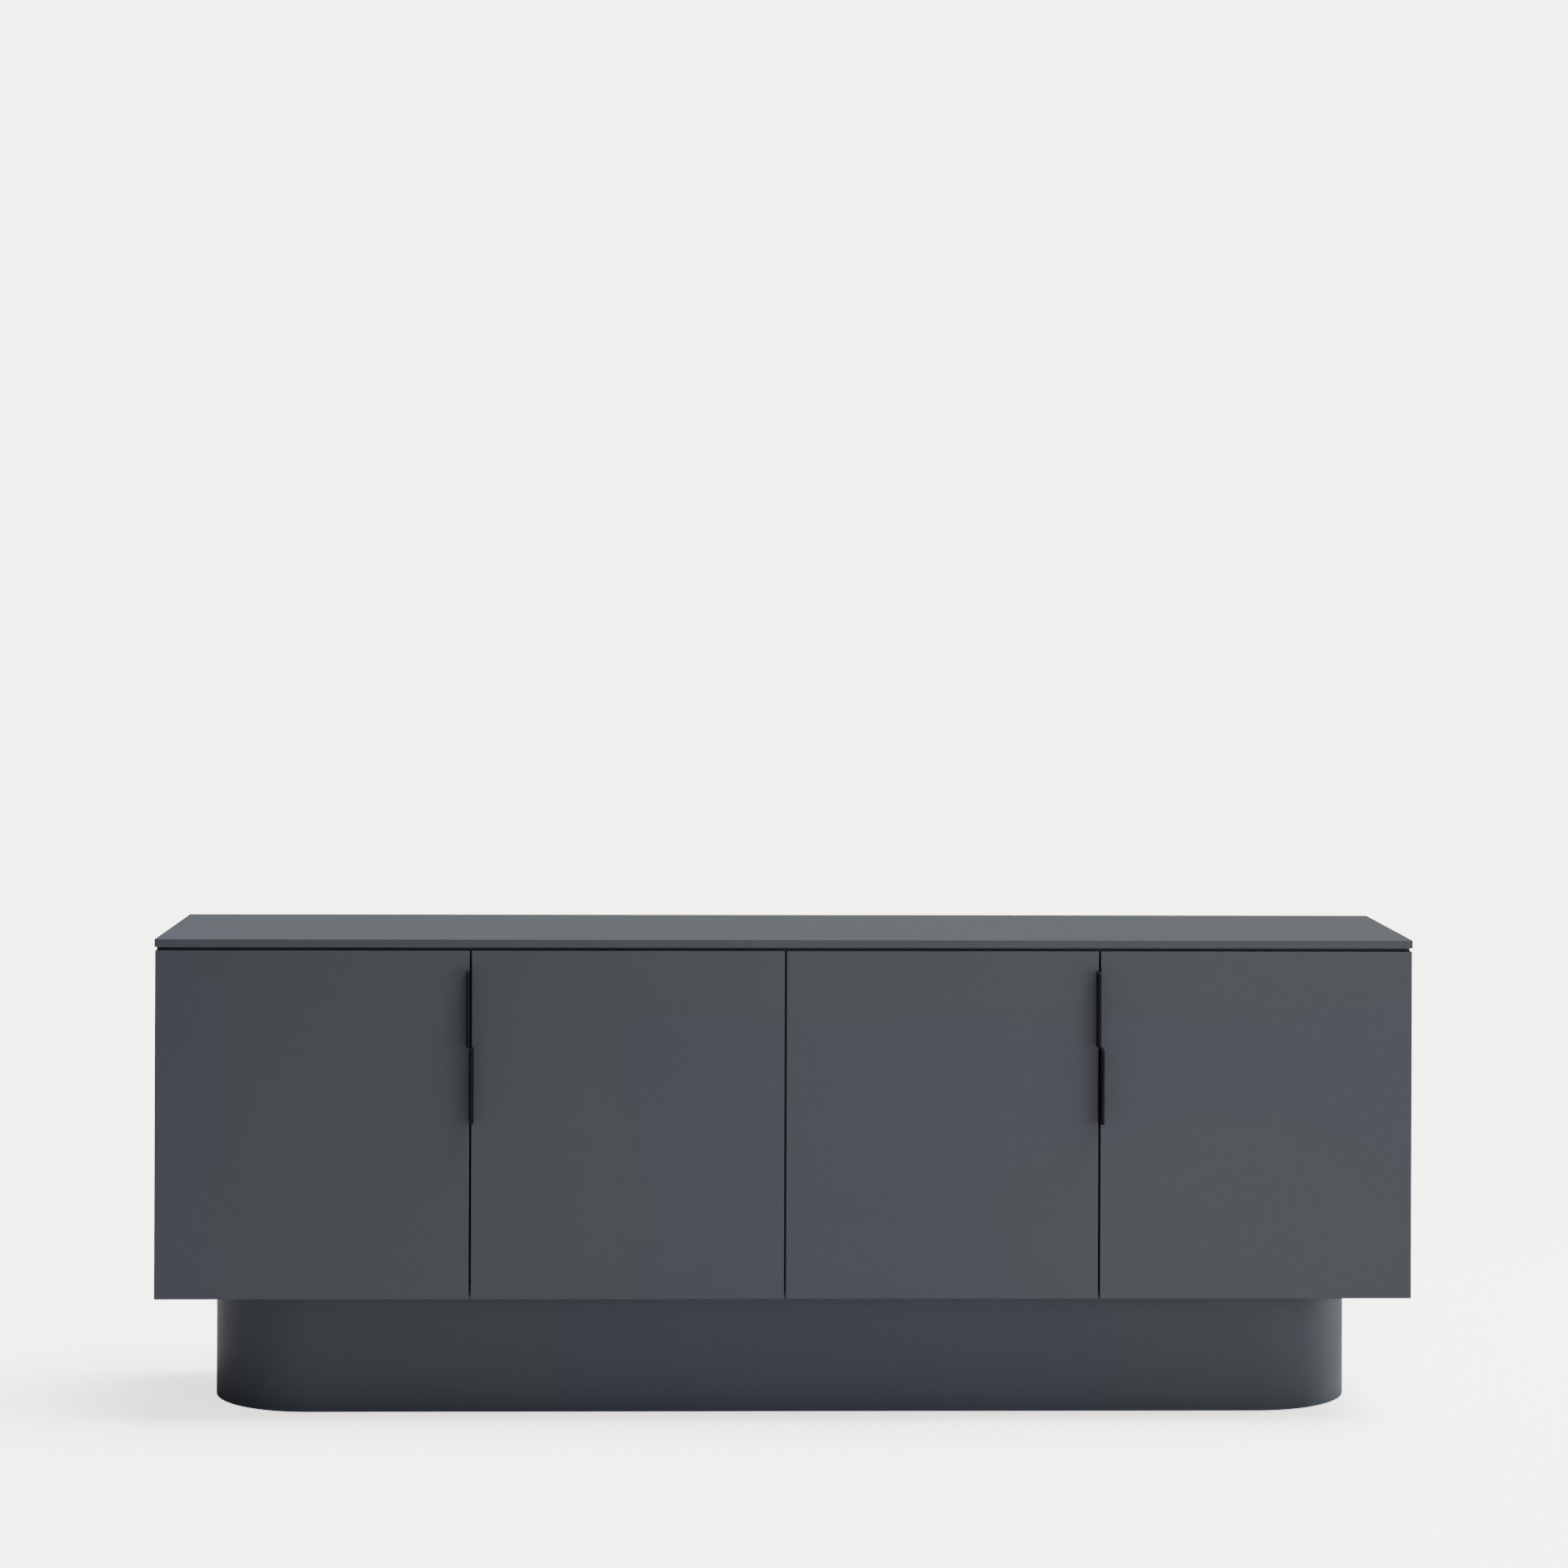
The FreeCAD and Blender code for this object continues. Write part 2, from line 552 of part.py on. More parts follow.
def export_carcass():
    dowels, bolts, cams = make_joinery()
    joinery_holes = dowels.holes + bolts.holes + cams.holes
    back_screws = [countersunk_screw(start, (0, -1, 0), 1.6, 20) for start in back_screw_places()]
    back_holes = [countersunk_screw(start, (0, -1, 0), 1.6, 20, grow=HOLE_CLEARANCE)
                  for start in back_screw_places()]
    top_screws = [countersunk_screw(start, (0, 0, 1), 2.0, 27) for start in top_screw_starts()]
    top_holes = [countersunk_screw(start, (0, 0, 1), 2.0, 27, grow=HOLE_CLEARANCE)
                 for start in top_screw_starts()]
    plinth_screws = [countersunk_screw(start, (0, 0, -1), 2.5, 33) for start in plinth_screw_starts()]
    plinth_holes = [countersunk_screw(start, (0, 0, -1), 2.5, 33, grow=HOLE_CLEARANCE)
                    for start in plinth_screw_starts()]
    plate_holes = [countersunk_screw(start, (-door.side, 0, 0), 2.5, 15, grow=HOLE_CLEARANCE)
                   for door in DOORS for z in HINGE_HEIGHTS for start in plate_screw_starts(door, z)]

    top = box((-WIDTH / 2, WIDTH / 2), (FRONT_Y, BACK_Y), (CARCASS_TOP, HEIGHT))
    top = top.makeFillet(TOP_EDGE_ROUNDING, top.Edges)
    export("top_panel", [cut(top, top_holes)])

    upright_z = (CARCASS_BOTTOM, CARCASS_TOP)
    rebate_x = CARCASS_HALF - 9.0
    upright_tools = joinery_holes + back_holes + plate_holes + pin_holes()
    for name, side in (("side_panel_left", -1), ("side_panel_right", 1)):
        panel = box((side * INNER_HALF, side * CARCASS_HALF), (CARCASS_FRONT_Y, BACK_Y), upright_z)
        rebate = box((side * (INNER_HALF - 1), side * rebate_x), (INNER_BACK_Y, BACK_Y + 1),
                     (CARCASS_BOTTOM - 1, CARCASS_TOP + 1))
        export(name, [cut(panel, [rebate] + upright_tools)])
    partition = box((-BOARD / 2, BOARD / 2), (CARCASS_FRONT_Y, INNER_BACK_Y),
                    (FLOOR_OF_CARCASS, CARCASS_TOP))
    export("centre_partition", [cut(partition, upright_tools)])

    floor = box((-INNER_HALF, INNER_HALF), (CARCASS_FRONT_Y, INNER_BACK_Y),
                (CARCASS_BOTTOM, FLOOR_OF_CARCASS))
    export("bottom_panel", [cut(floor, joinery_holes + back_holes + plinth_holes)])
    back = box((-rebate_x + 0.2, rebate_x - 0.2), (INNER_BACK_Y, BACK_Y), upright_z)
    export("back_panel", [cut(back, back_holes)])
    for name, pair in zip(("front_top_rails", "rear_top_rails"), rails()):
        export(name, [cut(rail, joinery_holes + back_holes + top_holes) for rail in pair])
    for name, side in (("shelf_left", -1), ("shelf_right", 1)):
        shelf = box((side * (BOARD / 2 + SHELF_PLAY), side * (INNER_HALF - SHELF_PLAY)),
                    (SHELF_FRONT_Y, INNER_BACK_Y - 5.0), (SHELF_TOP - BOARD, SHELF_TOP))
        export(name, [shelf])

    export("shelf_pins", shelf_pins())
    export("dowels", dowels.solids)
    export("cam_bolts", bolts.solids)
    export("cam_locks", [cut(lock, bolts.holes) for lock in cams.solids])
    export("back_panel_screws", back_screws)
    export("top_fixing_screws", top_screws)
    export("plinth_screws", plinth_screws)
    export("screw_caps", [cylinder(start, (0, 0, 1), 6.5, 1.2) for start in plinth_screw_starts()])
    export("door_bumpers", [
        cylinder((x, CARCASS_FRONT_Y, z), (0, -1, 0), 4.0, DOOR_TO_CARCASS - 0.1)
        for x, z in bumper_places()])
    return plinth_holes


def export_hinge_hardware():
    hinges = [(door, z) for door in DOORS for z in HINGE_HEIGHTS]
    export("hinge_plates", [hinge_plate(door, z) for door, z in hinges])
    export("hinge_plate_screws", [
        countersunk_screw(start, (-door.side, 0, 0), 2.5, 15)
        for door, z in hinges for start in plate_screw_starts(door, z)])
    export("hinge_arms", [hinge_arm(door, z) for door, z in hinges])
    export("hinge_arm_screws", [arm_screw(door, z) for door, z in hinges])
    export("hinge_arm_pins", [
        hinge_pin(door, ARM_PIVOT, CHEEK_W[1], 2.4, z) for door, z in hinges])


# ---------------------------------------------------------------- plinth
def stadium(inset, z_pair):
    """The plinth's outline, moved inwards by inset: two half circles and two straights."""
    y0 = PLINTH_FRONT_Y + inset
    y1 = PLINTH_BACK_Y - inset
    radius = (y1 - y0) / 2
    mid_y = (y0 + y1) / 2
    end_x = PLINTH_HALF - inset - radius
    height = z_pair[1] - z_pair[0]
    ends = [cylinder((x, mid_y, z_pair[0]), (0, 0, 1), radius, height) for x in (-end_x, end_x)]
    return fuse([box((-end_x, end_x), (y0, y1), z_pair), *ends])


def export_plinth(plinth_holes):
    z_pair = (GLIDE_HEIGHT, CARCASS_BOTTOM)
    straight = PLINTH_HALF - (PLINTH_BACK_Y - PLINTH_FRONT_Y) / 2
    back_y = (PLINTH_BACK_Y - PLINTH_SKIN, PLINTH_BACK_Y)
    ring = stadium(0.0, z_pair).cut(stadium(PLINTH_SKIN, (z_pair[0] - 1, z_pair[1] + 1)))
    window = box((-straight, straight), (back_y[0] - 1, back_y[1] + 1), (z_pair[0] - 1, z_pair[1] + 1))
    export("plinth_front_skin", [ring.cut(window)])
    export("plinth_back_board", [box((-straight, straight), back_y, z_pair)])

    levels = {
        "plinth_top_frame": (CARCASS_BOTTOM - BOARD, CARCASS_BOTTOM),
        "plinth_bottom_frame": (GLIDE_HEIGHT, GLIDE_HEIGHT + BOARD),
    }
    for name, (z0, z1) in levels.items():
        plate = stadium(PLINTH_SKIN, (z0, z1))
        window = stadium(PLINTH_SKIN + PLINTH_FRAME_WIDTH, (z0 - 1, z1 + 1))
        export(name, [cut(plate, [window] + plinth_holes)])
    rib_y = (PLINTH_FRONT_Y + PLINTH_SKIN, PLINTH_BACK_Y - PLINTH_SKIN)
    rib_z = (GLIDE_HEIGHT + BOARD, CARCASS_BOTTOM - BOARD)
    export("plinth_ribs", [box((x - BOARD / 2, x + BOARD / 2), rib_y, rib_z)
                           for x in (-720.0, -360.0, 0.0, 360.0, 720.0)])
    glide_y = (PLINTH_FRONT_Y + 45.0, PLINTH_BACK_Y - 45.0)
    export("plinth_glides", [cylinder((x, y, 0.0), (0, 0, 1), GLIDE_RADIUS, GLIDE_HEIGHT)
                             for x in (-720.0, -240.0, 240.0, 720.0) for y in glide_y])


def main():
    plinth_holes = export_carcass()
    export_hinge_hardware()
    for door in DOORS:
        export_door(door)
    export_plinth(plinth_holes)


main()
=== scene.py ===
"""Four-door sideboard on a long rounded plinth: its finishes, fittings, floor, light and camera."""

import logging
import math
from abc import ABC, abstractmethod
from dataclasses import dataclass
from enum import Enum, IntEnum
from functools import reduce
from typing import Any, Iterable, Mapping, Sequence

import bmesh
import bpy
import numpy as np
from mathutils import Matrix, Vector


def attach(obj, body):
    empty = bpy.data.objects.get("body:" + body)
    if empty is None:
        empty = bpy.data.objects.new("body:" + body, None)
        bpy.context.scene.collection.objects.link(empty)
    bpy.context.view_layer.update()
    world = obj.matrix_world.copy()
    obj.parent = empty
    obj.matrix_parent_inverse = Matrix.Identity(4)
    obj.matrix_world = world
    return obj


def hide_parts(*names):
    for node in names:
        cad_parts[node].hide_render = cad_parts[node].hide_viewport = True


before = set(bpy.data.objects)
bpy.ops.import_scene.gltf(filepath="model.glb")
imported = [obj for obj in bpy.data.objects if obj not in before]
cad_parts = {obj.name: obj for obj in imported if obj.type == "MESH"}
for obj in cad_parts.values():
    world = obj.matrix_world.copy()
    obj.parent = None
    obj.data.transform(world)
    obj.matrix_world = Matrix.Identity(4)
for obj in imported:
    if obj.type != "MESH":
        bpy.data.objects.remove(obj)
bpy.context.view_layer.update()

Colour = tuple[float, float, float]
Point = tuple[float, float, float]
Seat = tuple[Vector, Vector]

LOG = logging.getLogger("sideboard")
MM = 0.001
CARCASS = "carcass"
DOORS = ("door_1", "door_2", "door_3", "door_4")
WHITE: Colour = (1.0, 1.0, 1.0)
UNSTRETCHED: Point = (1.0, 1.0, 1.0)
# A Mix node's sockets for colours: its factor, its two colours and what comes out.
MIX_FACTOR = 0
MIX_FIRST = 6
MIX_SECOND = 7
MIXED = 2
# What a noise or a mask comes to on average.
MEAN = 0.5
# Vertices closer than this are one vertex, in metres.
WELD = 1e-6
# A profile's point closer to the axis than this lies on it, in metres.
ON_AXIS = 1e-9
# A fastener's end, as a share of its length, in which its radius is read.
END_SHARE = 0.12
# Decimals of a metre to which solids are told apart when they are put in order.
ORDER_DECIMALS = 4
# Edges that turn by more than this stay sharp, in degrees.
SHARP_ANGLE = 35.0
# How far the first fastener of a set is turned, and each one more than the last, in radians.
FIRST_TWIST = 0.4
NEXT_TWIST = 0.9


def scaled(colour: Colour, gain: float) -> Colour:
    """A colour made lighter or darker by a gain."""
    return tuple(gain * c for c in colour)


class Axis(IntEnum):
    """An axis, as its place in a vector."""

    X = 0
    Y = 1
    Z = 2


class Cells(Enum):
    """How a field of cells is measured."""

    SOFT = "SMOOTH_F1"
    SHARP = "F1"


class Slot(Enum):
    """The finishes, by the names of their slots."""

    SLATE_LACQUER = "slate_lacquer"
    PLINTH_LACQUER = "plinth_lacquer"
    SLATE_BOARD = "slate_board"
    RAW_BOARD = "raw_board"
    BEECH = "beech"
    BLACK_METAL = "black_metal"
    PLATED_STEEL = "plated_steel"
    BLACK_PLASTIC = "black_plastic"
    SLATE_PLASTIC = "slate_plastic"
    SOFT_BUMPER = "soft_bumper"


# ---------------------------------------------------------------- shader maths
@dataclass(frozen=True)
class Cloud:
    """Soft cloudy noise.

    Attributes:
        size: The width of one cloud, in metres.
        detail: How many finer layers lie on it.
        roughness: How strong those layers are.
        stretch: Coordinates are multiplied by this first, so a small number makes streaks.
        rise: The noise between these two numbers is spread over 0..1, or None to leave it.
    """

    size: float
    detail: float = 2.0
    roughness: float = 0.5
    stretch: Point = UNSTRETCHED
    rise: tuple[float, float] | None = None


@dataclass(frozen=True)
class Patch:
    """A broad patch of a surface, with a soft and ragged rim.

    Attributes:
        centre: Its middle, in metres.
        reach: How far it runs along each axis.
        rag: How uneven its rim is, as a share of its reach.
        rim: The rim, from where the patch starts to fade to its end, as shares of its reach.
        wander: The noise that makes the rim ragged.
    """

    centre: Point
    reach: Point
    rag: float = 0.45
    rim: tuple[float, float] = (0.6, 1.0)
    wander: Cloud = Cloud(0.3)


class Value:
    """A number that varies over a surface, with Python's operators standing for Math nodes."""

    def __init__(self, sheet: "NodeSheet", socket: bpy.types.NodeSocket) -> None:
        """Keep the socket that holds the number and the sheet that it belongs to."""
        self.sheet = sheet
        self.socket = socket

    def maths(self, operation: str, *operands: "Value | float") -> "Value":
        """Run one Math node.

        Args:
            operation: The Math node's operation.
            operands: What goes into its sockets, in order.

        Returns:
            The node's result.
        """
        inputs = dict(enumerate(operands))
        node = self.sheet.node("ShaderNodeMath", {"operation": operation}, inputs)
        return Value(self.sheet, node.outputs[0])

    def __add__(self, other: "Value | float") -> "Value":
        """self + other."""
        return self.maths("ADD", self, other)

    def __radd__(self, other: float) -> "Value":
        """other + self."""
        return self.maths("ADD", other, self)

    def __sub__(self, other: "Value | float") -> "Value":
        """self - other."""
        return self.maths("SUBTRACT", self, other)

    def __rsub__(self, other: float) -> "Value":
        """other - self."""
        return self.maths("SUBTRACT", other, self)

    def __mul__(self, other: "Value | float") -> "Value":
        """self * other."""
        return self.maths("MULTIPLY", self, other)

    def __rmul__(self, other: float) -> "Value":
        """other * self."""
        return self.maths("MULTIPLY", other, self)

    def either(self, other: "Value") -> "Value":
        """The larger of two masks."""
        return self.maths("MAXIMUM", self, other)

    def span(self, low: float, high: float) -> "Value":
        """Stretch low..high to 0..1 with soft ends.

        Args:
            low: The number that becomes 0.
            high: The number that becomes 1.

        Returns:
            A mask from 0 to 1.
        """
        node = self.sheet.node(
            "ShaderNodeMapRange",
            {"interpolation_type": "SMOOTHSTEP", "clamp": True},
            {"Value": self, "From Min": low, "From Max": high},
        )
        return Value(self.sheet, node.outputs[0])


class NodeSheet:
    """One material and the nodes that make it."""

    def __init__(self, name: str) -> None:
        """Start an empty material.

        Args:
            name: The material's name.
        """
        self.material = bpy.data.materials.new(name)
        self.material.use_nodes = True
        self.tree = self.material.node_tree
        self.tree.nodes.clear()
        self.output = self.node("ShaderNodeOutputMaterial")
        self.place = self.node("ShaderNodeTexCoord").outputs["Object"]

    def node(
        self,
        kind: str,
        settings: Mapping[str, Any] | None = None,
        inputs: Mapping[str | int, Any] | None = None,
    ) -> bpy.types.Node:
        """Add one node.

        Args:
            kind: The node's type.
            settings: Its properties, and a ramp's stops as (position, colour) pairs.
            inputs: What each socket holds: a number, a colour, a Value or another node's socket.

        Returns:
            The node.
        """
        made = self.tree.nodes.new(kind)
        for name, value in (settings or {}).items():
            if name == "stops":
                self._set_stops(made.color_ramp, value)
            else:
                setattr(made, name, value)
        for name, value in (inputs or {}).items():
            socket = made.inputs[name]
            if isinstance(value, Value):
                self.tree.links.new(value.socket, socket)
            elif isinstance(value, bpy.types.NodeSocket):
                self.tree.links.new(value, socket)
            else:
                socket.default_value = value
        return made

    @staticmethod
    def _set_stops(ramp: bpy.types.ColorRamp, stops: Sequence[tuple[float, Colour]]) -> None:
        """Give a ramp its stops.

        Args:
            ramp: The ramp.
            stops: A position and a colour for each stop, from left to right.
        """
        while len(ramp.elements) < len(stops):
            ramp.elements.new(1.0)
        for element, (position, colour) in zip(ramp.elements, stops):
            element.position = position
            element.color = (*colour, 1.0)

    def stretched(self, stretch: Point) -> bpy.types.NodeSocket:
        """The surface's own coordinates in metres, stretched along each axis."""
        node = self.node(
            "ShaderNodeVectorMath", {"operation": "MULTIPLY"}, {0: self.place, 1: stretch}
        )
        return node.outputs[0]

    def noise(self, cloud: Cloud) -> Value:
        """Lay cloudy noise over the surface.

        Args:
            cloud: What the noise is like.

        Returns:
            A number from 0 to 1.
        """
        node = self.node(
            "ShaderNodeTexNoise",
            {"noise_dimensions": "3D"},
            {
                "Vector": self.stretched(cloud.stretch),
                "Scale": 1.0 / cloud.size,
                "Detail": cloud.detail,
                "Roughness": cloud.roughness,
            },
        )
        plain = Value(self, node.outputs["Fac"])
        return plain.span(*cloud.rise) if cloud.rise else plain

    def cells(self, size: float, kind: Cells, stretch: Point = UNSTRETCHED) -> bpy.types.Node:
        """A field of irregular cells about size metres wide, as its node."""
        return self.node(
            "ShaderNodeTexVoronoi",
            {"feature": kind.value},
            {"Vector": self.stretched(stretch), "Scale": 1.0 / size},
        )

    def patch(self, patch: Patch) -> Value:
        """Mask a broad patch.

        Args:
            patch: Where the patch lies and how it ends.

        Returns:
            A mask that is 1 in the middle and 0 beyond the rim.
        """
        centre = tuple(c / r for c, r in zip(patch.centre, patch.reach))
        away = self.node(
            "ShaderNodeVectorMath",
            {"operation": "DISTANCE"},
            {0: self.stretched(tuple(1.0 / r for r in patch.reach)), 1: centre},
        )
        uneven = (self.noise(patch.wander) - MEAN) * patch.rag
        return 1.0 - (Value(self, away.outputs["Value"]) + uneven).span(*patch.rim)

    def blend(
        self,
        factor: Value,
        first: "Colour | bpy.types.NodeSocket",
        second: "Colour | bpy.types.NodeSocket",
    ) -> bpy.types.NodeSocket:
        """Mix two colours.

        Args:
            factor: 0 keeps the first colour, 1 the second.
            first: A colour or a colour socket.
            second: A colour or a colour socket.

        Returns:
            The mixed colour's socket.
        """
        ends = [(*c, 1.0) if isinstance(c, tuple) else c for c in (first, second)]
        inputs = {MIX_FACTOR: factor, MIX_FIRST: ends[0], MIX_SECOND: ends[1]}
        node = self.node("ShaderNodeMix", {"data_type": "RGBA"}, inputs)
        return node.outputs[MIXED]

    def relief(self, height: Value, depth: float, strength: float = 1.0) -> bpy.types.NodeSocket:
        """Turn a height from 0 to 1 into a bump depth metres deep."""
        node = self.node(
            "ShaderNodeBump", {}, {"Height": height, "Distance": depth, "Strength": strength}
        )
        return node.outputs["Normal"]

    def finish(self, **sockets: Any) -> bpy.types.Material:
        """Close the material with one Principled shader.

        Args:
            sockets: The shader's sockets, with underscores for spaces.

        Returns:
            The finished material.
        """
        inputs = {name.replace("_", " "): value for name, value in sockets.items()}
        shader = self.node("ShaderNodeBsdfPrincipled", {}, inputs)
        self.tree.links.new(shader.outputs[0], self.output.inputs["Surface"])
        return self.material


# ---------------------------------------------------------------- finishes
@dataclass(frozen=True)
class Lacquer:
    """Sprayed satin lacquer on fibreboard: a faint orange peel and a slightly uneven sheen.

    Attributes:
        name: The material's name.
        colour: The lacquer's own colour.
        shift: The greener colour that is blended in over broad patches.
        patches: Where those patches are.
        roughness: The sheen's mean roughness.
        shine: How strongly it mirrors, as the shader's own level.
        coat: How much clear coat lies on it.
        coat_roughness: The clear coat's roughness.
        mottle: The cloudiness of the colour.
        mottle_gain: How light the mottle's darker colour is, as a share of the lacquer's own.
        mottle_share: How much of that colour the mottle brings in.
        grain: The finest unevenness.
        grain_share: How much of the darker colour the grain brings in.
        handling: The cloudiness that use gives the sheen.
        handling_swing: How much it changes the roughness.
        grain_swing: How much the grain changes the roughness.
        peel: The dimples of the orange peel.
        peel_grain: The grain's share in the relief.
        peel_depth: The dimples' depth, in metres.
    """

    name: str
    colour: Colour
    shift: Colour
    patches: tuple[Patch, ...]
    roughness: float = 0.46
    shine: float = 0.3
    coat: float = 0.03
    coat_roughness: float = 0.35
    mottle: Cloud = Cloud(0.035, 3.0, 0.6)
    mottle_gain: float = 0.9
    mottle_share: float = 0.22
    grain: Cloud = Cloud(0.35 * MM, 1.0)
    grain_share: float = 0.05
    handling: Cloud = Cloud(0.16, 4.0, 0.55, (0.6, 1.0, 1.5), (0.3, 0.75))
    handling_swing: float = 0.05
    grain_swing: float = 0.04
    peel: Cloud = Cloud(1.6 * MM, 2.0, 0.4)
    peel_grain: float = 0.2
    peel_depth: float = 0.012 * MM

    def material(self) -> bpy.types.Material:
        """Make the material.

        Returns:
            The finished material.
        """
        sheet = NodeSheet(self.name)
        drift = reduce(Value.either, [sheet.patch(patch) for patch in self.patches])
        tone = sheet.blend(drift, self.colour, self.shift)
        mottle = sheet.noise(self.mottle) - MEAN
        grain = sheet.noise(self.grain)
        uneven = mottle * self.mottle_share + grain * self.grain_share
        handled = (sheet.noise(self.handling) - MEAN) * self.handling_swing
        dimples = sheet.noise(self.peel) * (1.0 - self.peel_grain) + grain * self.peel_grain
        return sheet.finish(
            Base_Color=sheet.blend(uneven, tone, scaled(self.colour, self.mottle_gain)),
            Roughness=self.roughness + handled + (grain - MEAN) * self.grain_swing,
            Normal=sheet.relief(dimples, self.peel_depth),
            Specular_IOR_Level=self.shine,
            Coat_Roughness=self.coat_roughness,
            Coat_Weight=self.coat,
        )


@dataclass(frozen=True)
class FacedBoard:
    """Melamine-faced board: a fine pearl texture and tiny paler flecks in a matt foil.

    Attributes:
        name: The material's name.
        colour: The foil's colour.
        fleck: The colour of the flecks.
        roughness: The foil's mean roughness.
        specks: Where the flecks are.
        speck_share: How much of its own colour a fleck takes.
        speck_swing: How much a fleck adds to the roughness.
        cloud: The cloudiness of the foil.
        shade_gain: How light the foil's darker shade is, as a share of its own colour.
        shade_start: The part of the cloud that leaves the colour alone.
        shade_share: How much of the darker shade the rest brings in.
        cloud_swing: How much the cloud changes the roughness.
        pearl: The width of one pearl, in metres.
        pearl_depth: The pearls' depth, in metres.
        pearl_strength: How clearly they show.
    """

    name: str
    colour: Colour
    fleck: Colour
    roughness: float = 0.55
    specks: Cloud = Cloud(1.1 * MM, 2.0, 0.7, rise=(0.62, 0.74))
    speck_share: float = 0.35
    speck_swing: float = 0.06
    cloud: Cloud = Cloud(0.2, 3.0)
    shade_gain: float = 0.86
    shade_start: float = 0.35
    shade_share: float = 0.35
    cloud_swing: float = 0.08
    pearl: float = 0.7 * MM
    pearl_depth: float = 0.03 * MM
    pearl_strength: float = 0.7

    def material(self) -> bpy.types.Material:
        """Make the material.

        Returns:
            The finished material.
        """
        sheet = NodeSheet(self.name)
        pearls = Value(sheet, sheet.cells(self.pearl, Cells.SOFT).outputs["Distance"])
        specks = sheet.noise(self.specks)
        cloud = sheet.noise(self.cloud)
        flecked = sheet.blend(specks * self.speck_share, self.colour, self.fleck)
        shaded = (cloud - self.shade_start) * self.shade_share
        swing = (cloud - MEAN) * self.cloud_swing
        return sheet.finish(
            Base_Color=sheet.blend(shaded, flecked, scaled(self.colour, self.shade_gain)),
            Roughness=self.roughness + swing + specks * self.speck_swing,
            Normal=sheet.relief(pearls, self.pearl_depth, self.pearl_strength),
        )


@dataclass(frozen=True)
class Chipboard:
    """Bare chipboard: flat wood chips of several browns, pressed in glue.

    Attributes:
        name: The material's name.
        chips: The chips' colours, from dark to pale.
        starts: Where each of those colours starts, from 0 to 1.
        chip: The width of one chip, in metres.
        chip_stretch: How the chips lie along each axis.
        fibre: The fibres within the chips.
        dust_rise: The stretch of the fibres over which dust settles.
        dust_gain: How light the dust is, as a share of the darkest chip.
        dust_share: How much of the dust's colour shows.
        roughness: The board's least roughness.
        fibre_swing: How much the fibres add to it.
        fibre_height: The fibres' share in the relief.
        depth: The relief's depth, in metres.
    """

    name: str
    chips: tuple[Colour, Colour, Colour, Colour]
    starts: tuple[float, float, float, float] = (0.0, 0.3, 0.65, 1.0)
    chip: float = 3.4 * MM
    chip_stretch: Point = (0.35, 0.8, 1.3)
    fibre: Cloud = Cloud(0.5 * MM, 3.0, 0.6, (0.2, 1.0, 1.0))
    dust_rise: tuple[float, float] = (0.5, 0.8)
    dust_gain: float = 0.7
    dust_share: float = 0.5
    roughness: float = 0.78
    fibre_swing: float = 0.15
    fibre_height: float = 0.4
    depth: float = 0.15 * MM

    def material(self) -> bpy.types.Material:
        """Make the material.

        Returns:
            The finished material.
        """
        sheet = NodeSheet(self.name)
        chips = sheet.cells(self.chip, Cells.SHARP, self.chip_stretch)
        split = sheet.node("ShaderNodeSeparateColor", {}, {0: chips.outputs["Color"]})
        stops = list(zip(self.starts, self.chips))
        palette = sheet.node("ShaderNodeValToRGB", {"stops": stops}, {0: split.outputs[0]})
        fibre = sheet.noise(self.fibre)
        dust = fibre.span(*self.dust_rise) * self.dust_share
        darkest = scaled(self.chips[0], self.dust_gain)
        thickness = Value(sheet, split.outputs[1]) * (1.0 - self.fibre_height)
        return sheet.finish(
            Base_Color=sheet.blend(dust, palette.outputs["Color"], darkest),
            Roughness=self.roughness + fibre * self.fibre_swing,
            Normal=sheet.relief(thickness + fibre * self.fibre_height, self.depth),
        )


@dataclass(frozen=True)
class Beech:
    """Turned beech: fine grain with short dark ray flecks.

    Attributes:
        name: The material's name.
        pale: The wood between the flecks.
        dark: The flecks.
        flecks: Where the flecks are.
        fleck_share: How much of the dark colour a fleck takes.
        fleck_swing: How much a fleck adds to the roughness.
        rings: The broader bands of the year rings.
        ring_share: How much of the dark colour the rings bring in.
        roughness: The roughness between the flecks.
        depth: The flecks' relief, in metres.
    """

    name: str
    pale: Colour
    dark: Colour
    flecks: Cloud = Cloud(0.6 * MM, 3.0, 0.6, (0.12, 1.0, 1.0), (0.5, 0.72))
    fleck_share: float = 0.6
    fleck_swing: float = 0.15
    rings: Cloud = Cloud(4.0 * MM, stretch=(0.05, 1.0, 1.0))
    ring_share: float = 0.5
    roughness: float = 0.6
    depth: float = 0.05 * MM

    def material(self) -> bpy.types.Material:
        """Make the material.

        Returns:
            The finished material.
        """
        sheet = NodeSheet(self.name)
        flecks = sheet.noise(self.flecks)
        rings = sheet.noise(self.rings)
        dark = flecks * self.fleck_share + (rings - MEAN) * self.ring_share
        return sheet.finish(
            Base_Color=sheet.blend(dark, self.pale, self.dark),
            Roughness=self.roughness + flecks * self.fleck_swing,
            Normal=sheet.relief(flecks, self.depth),
        )


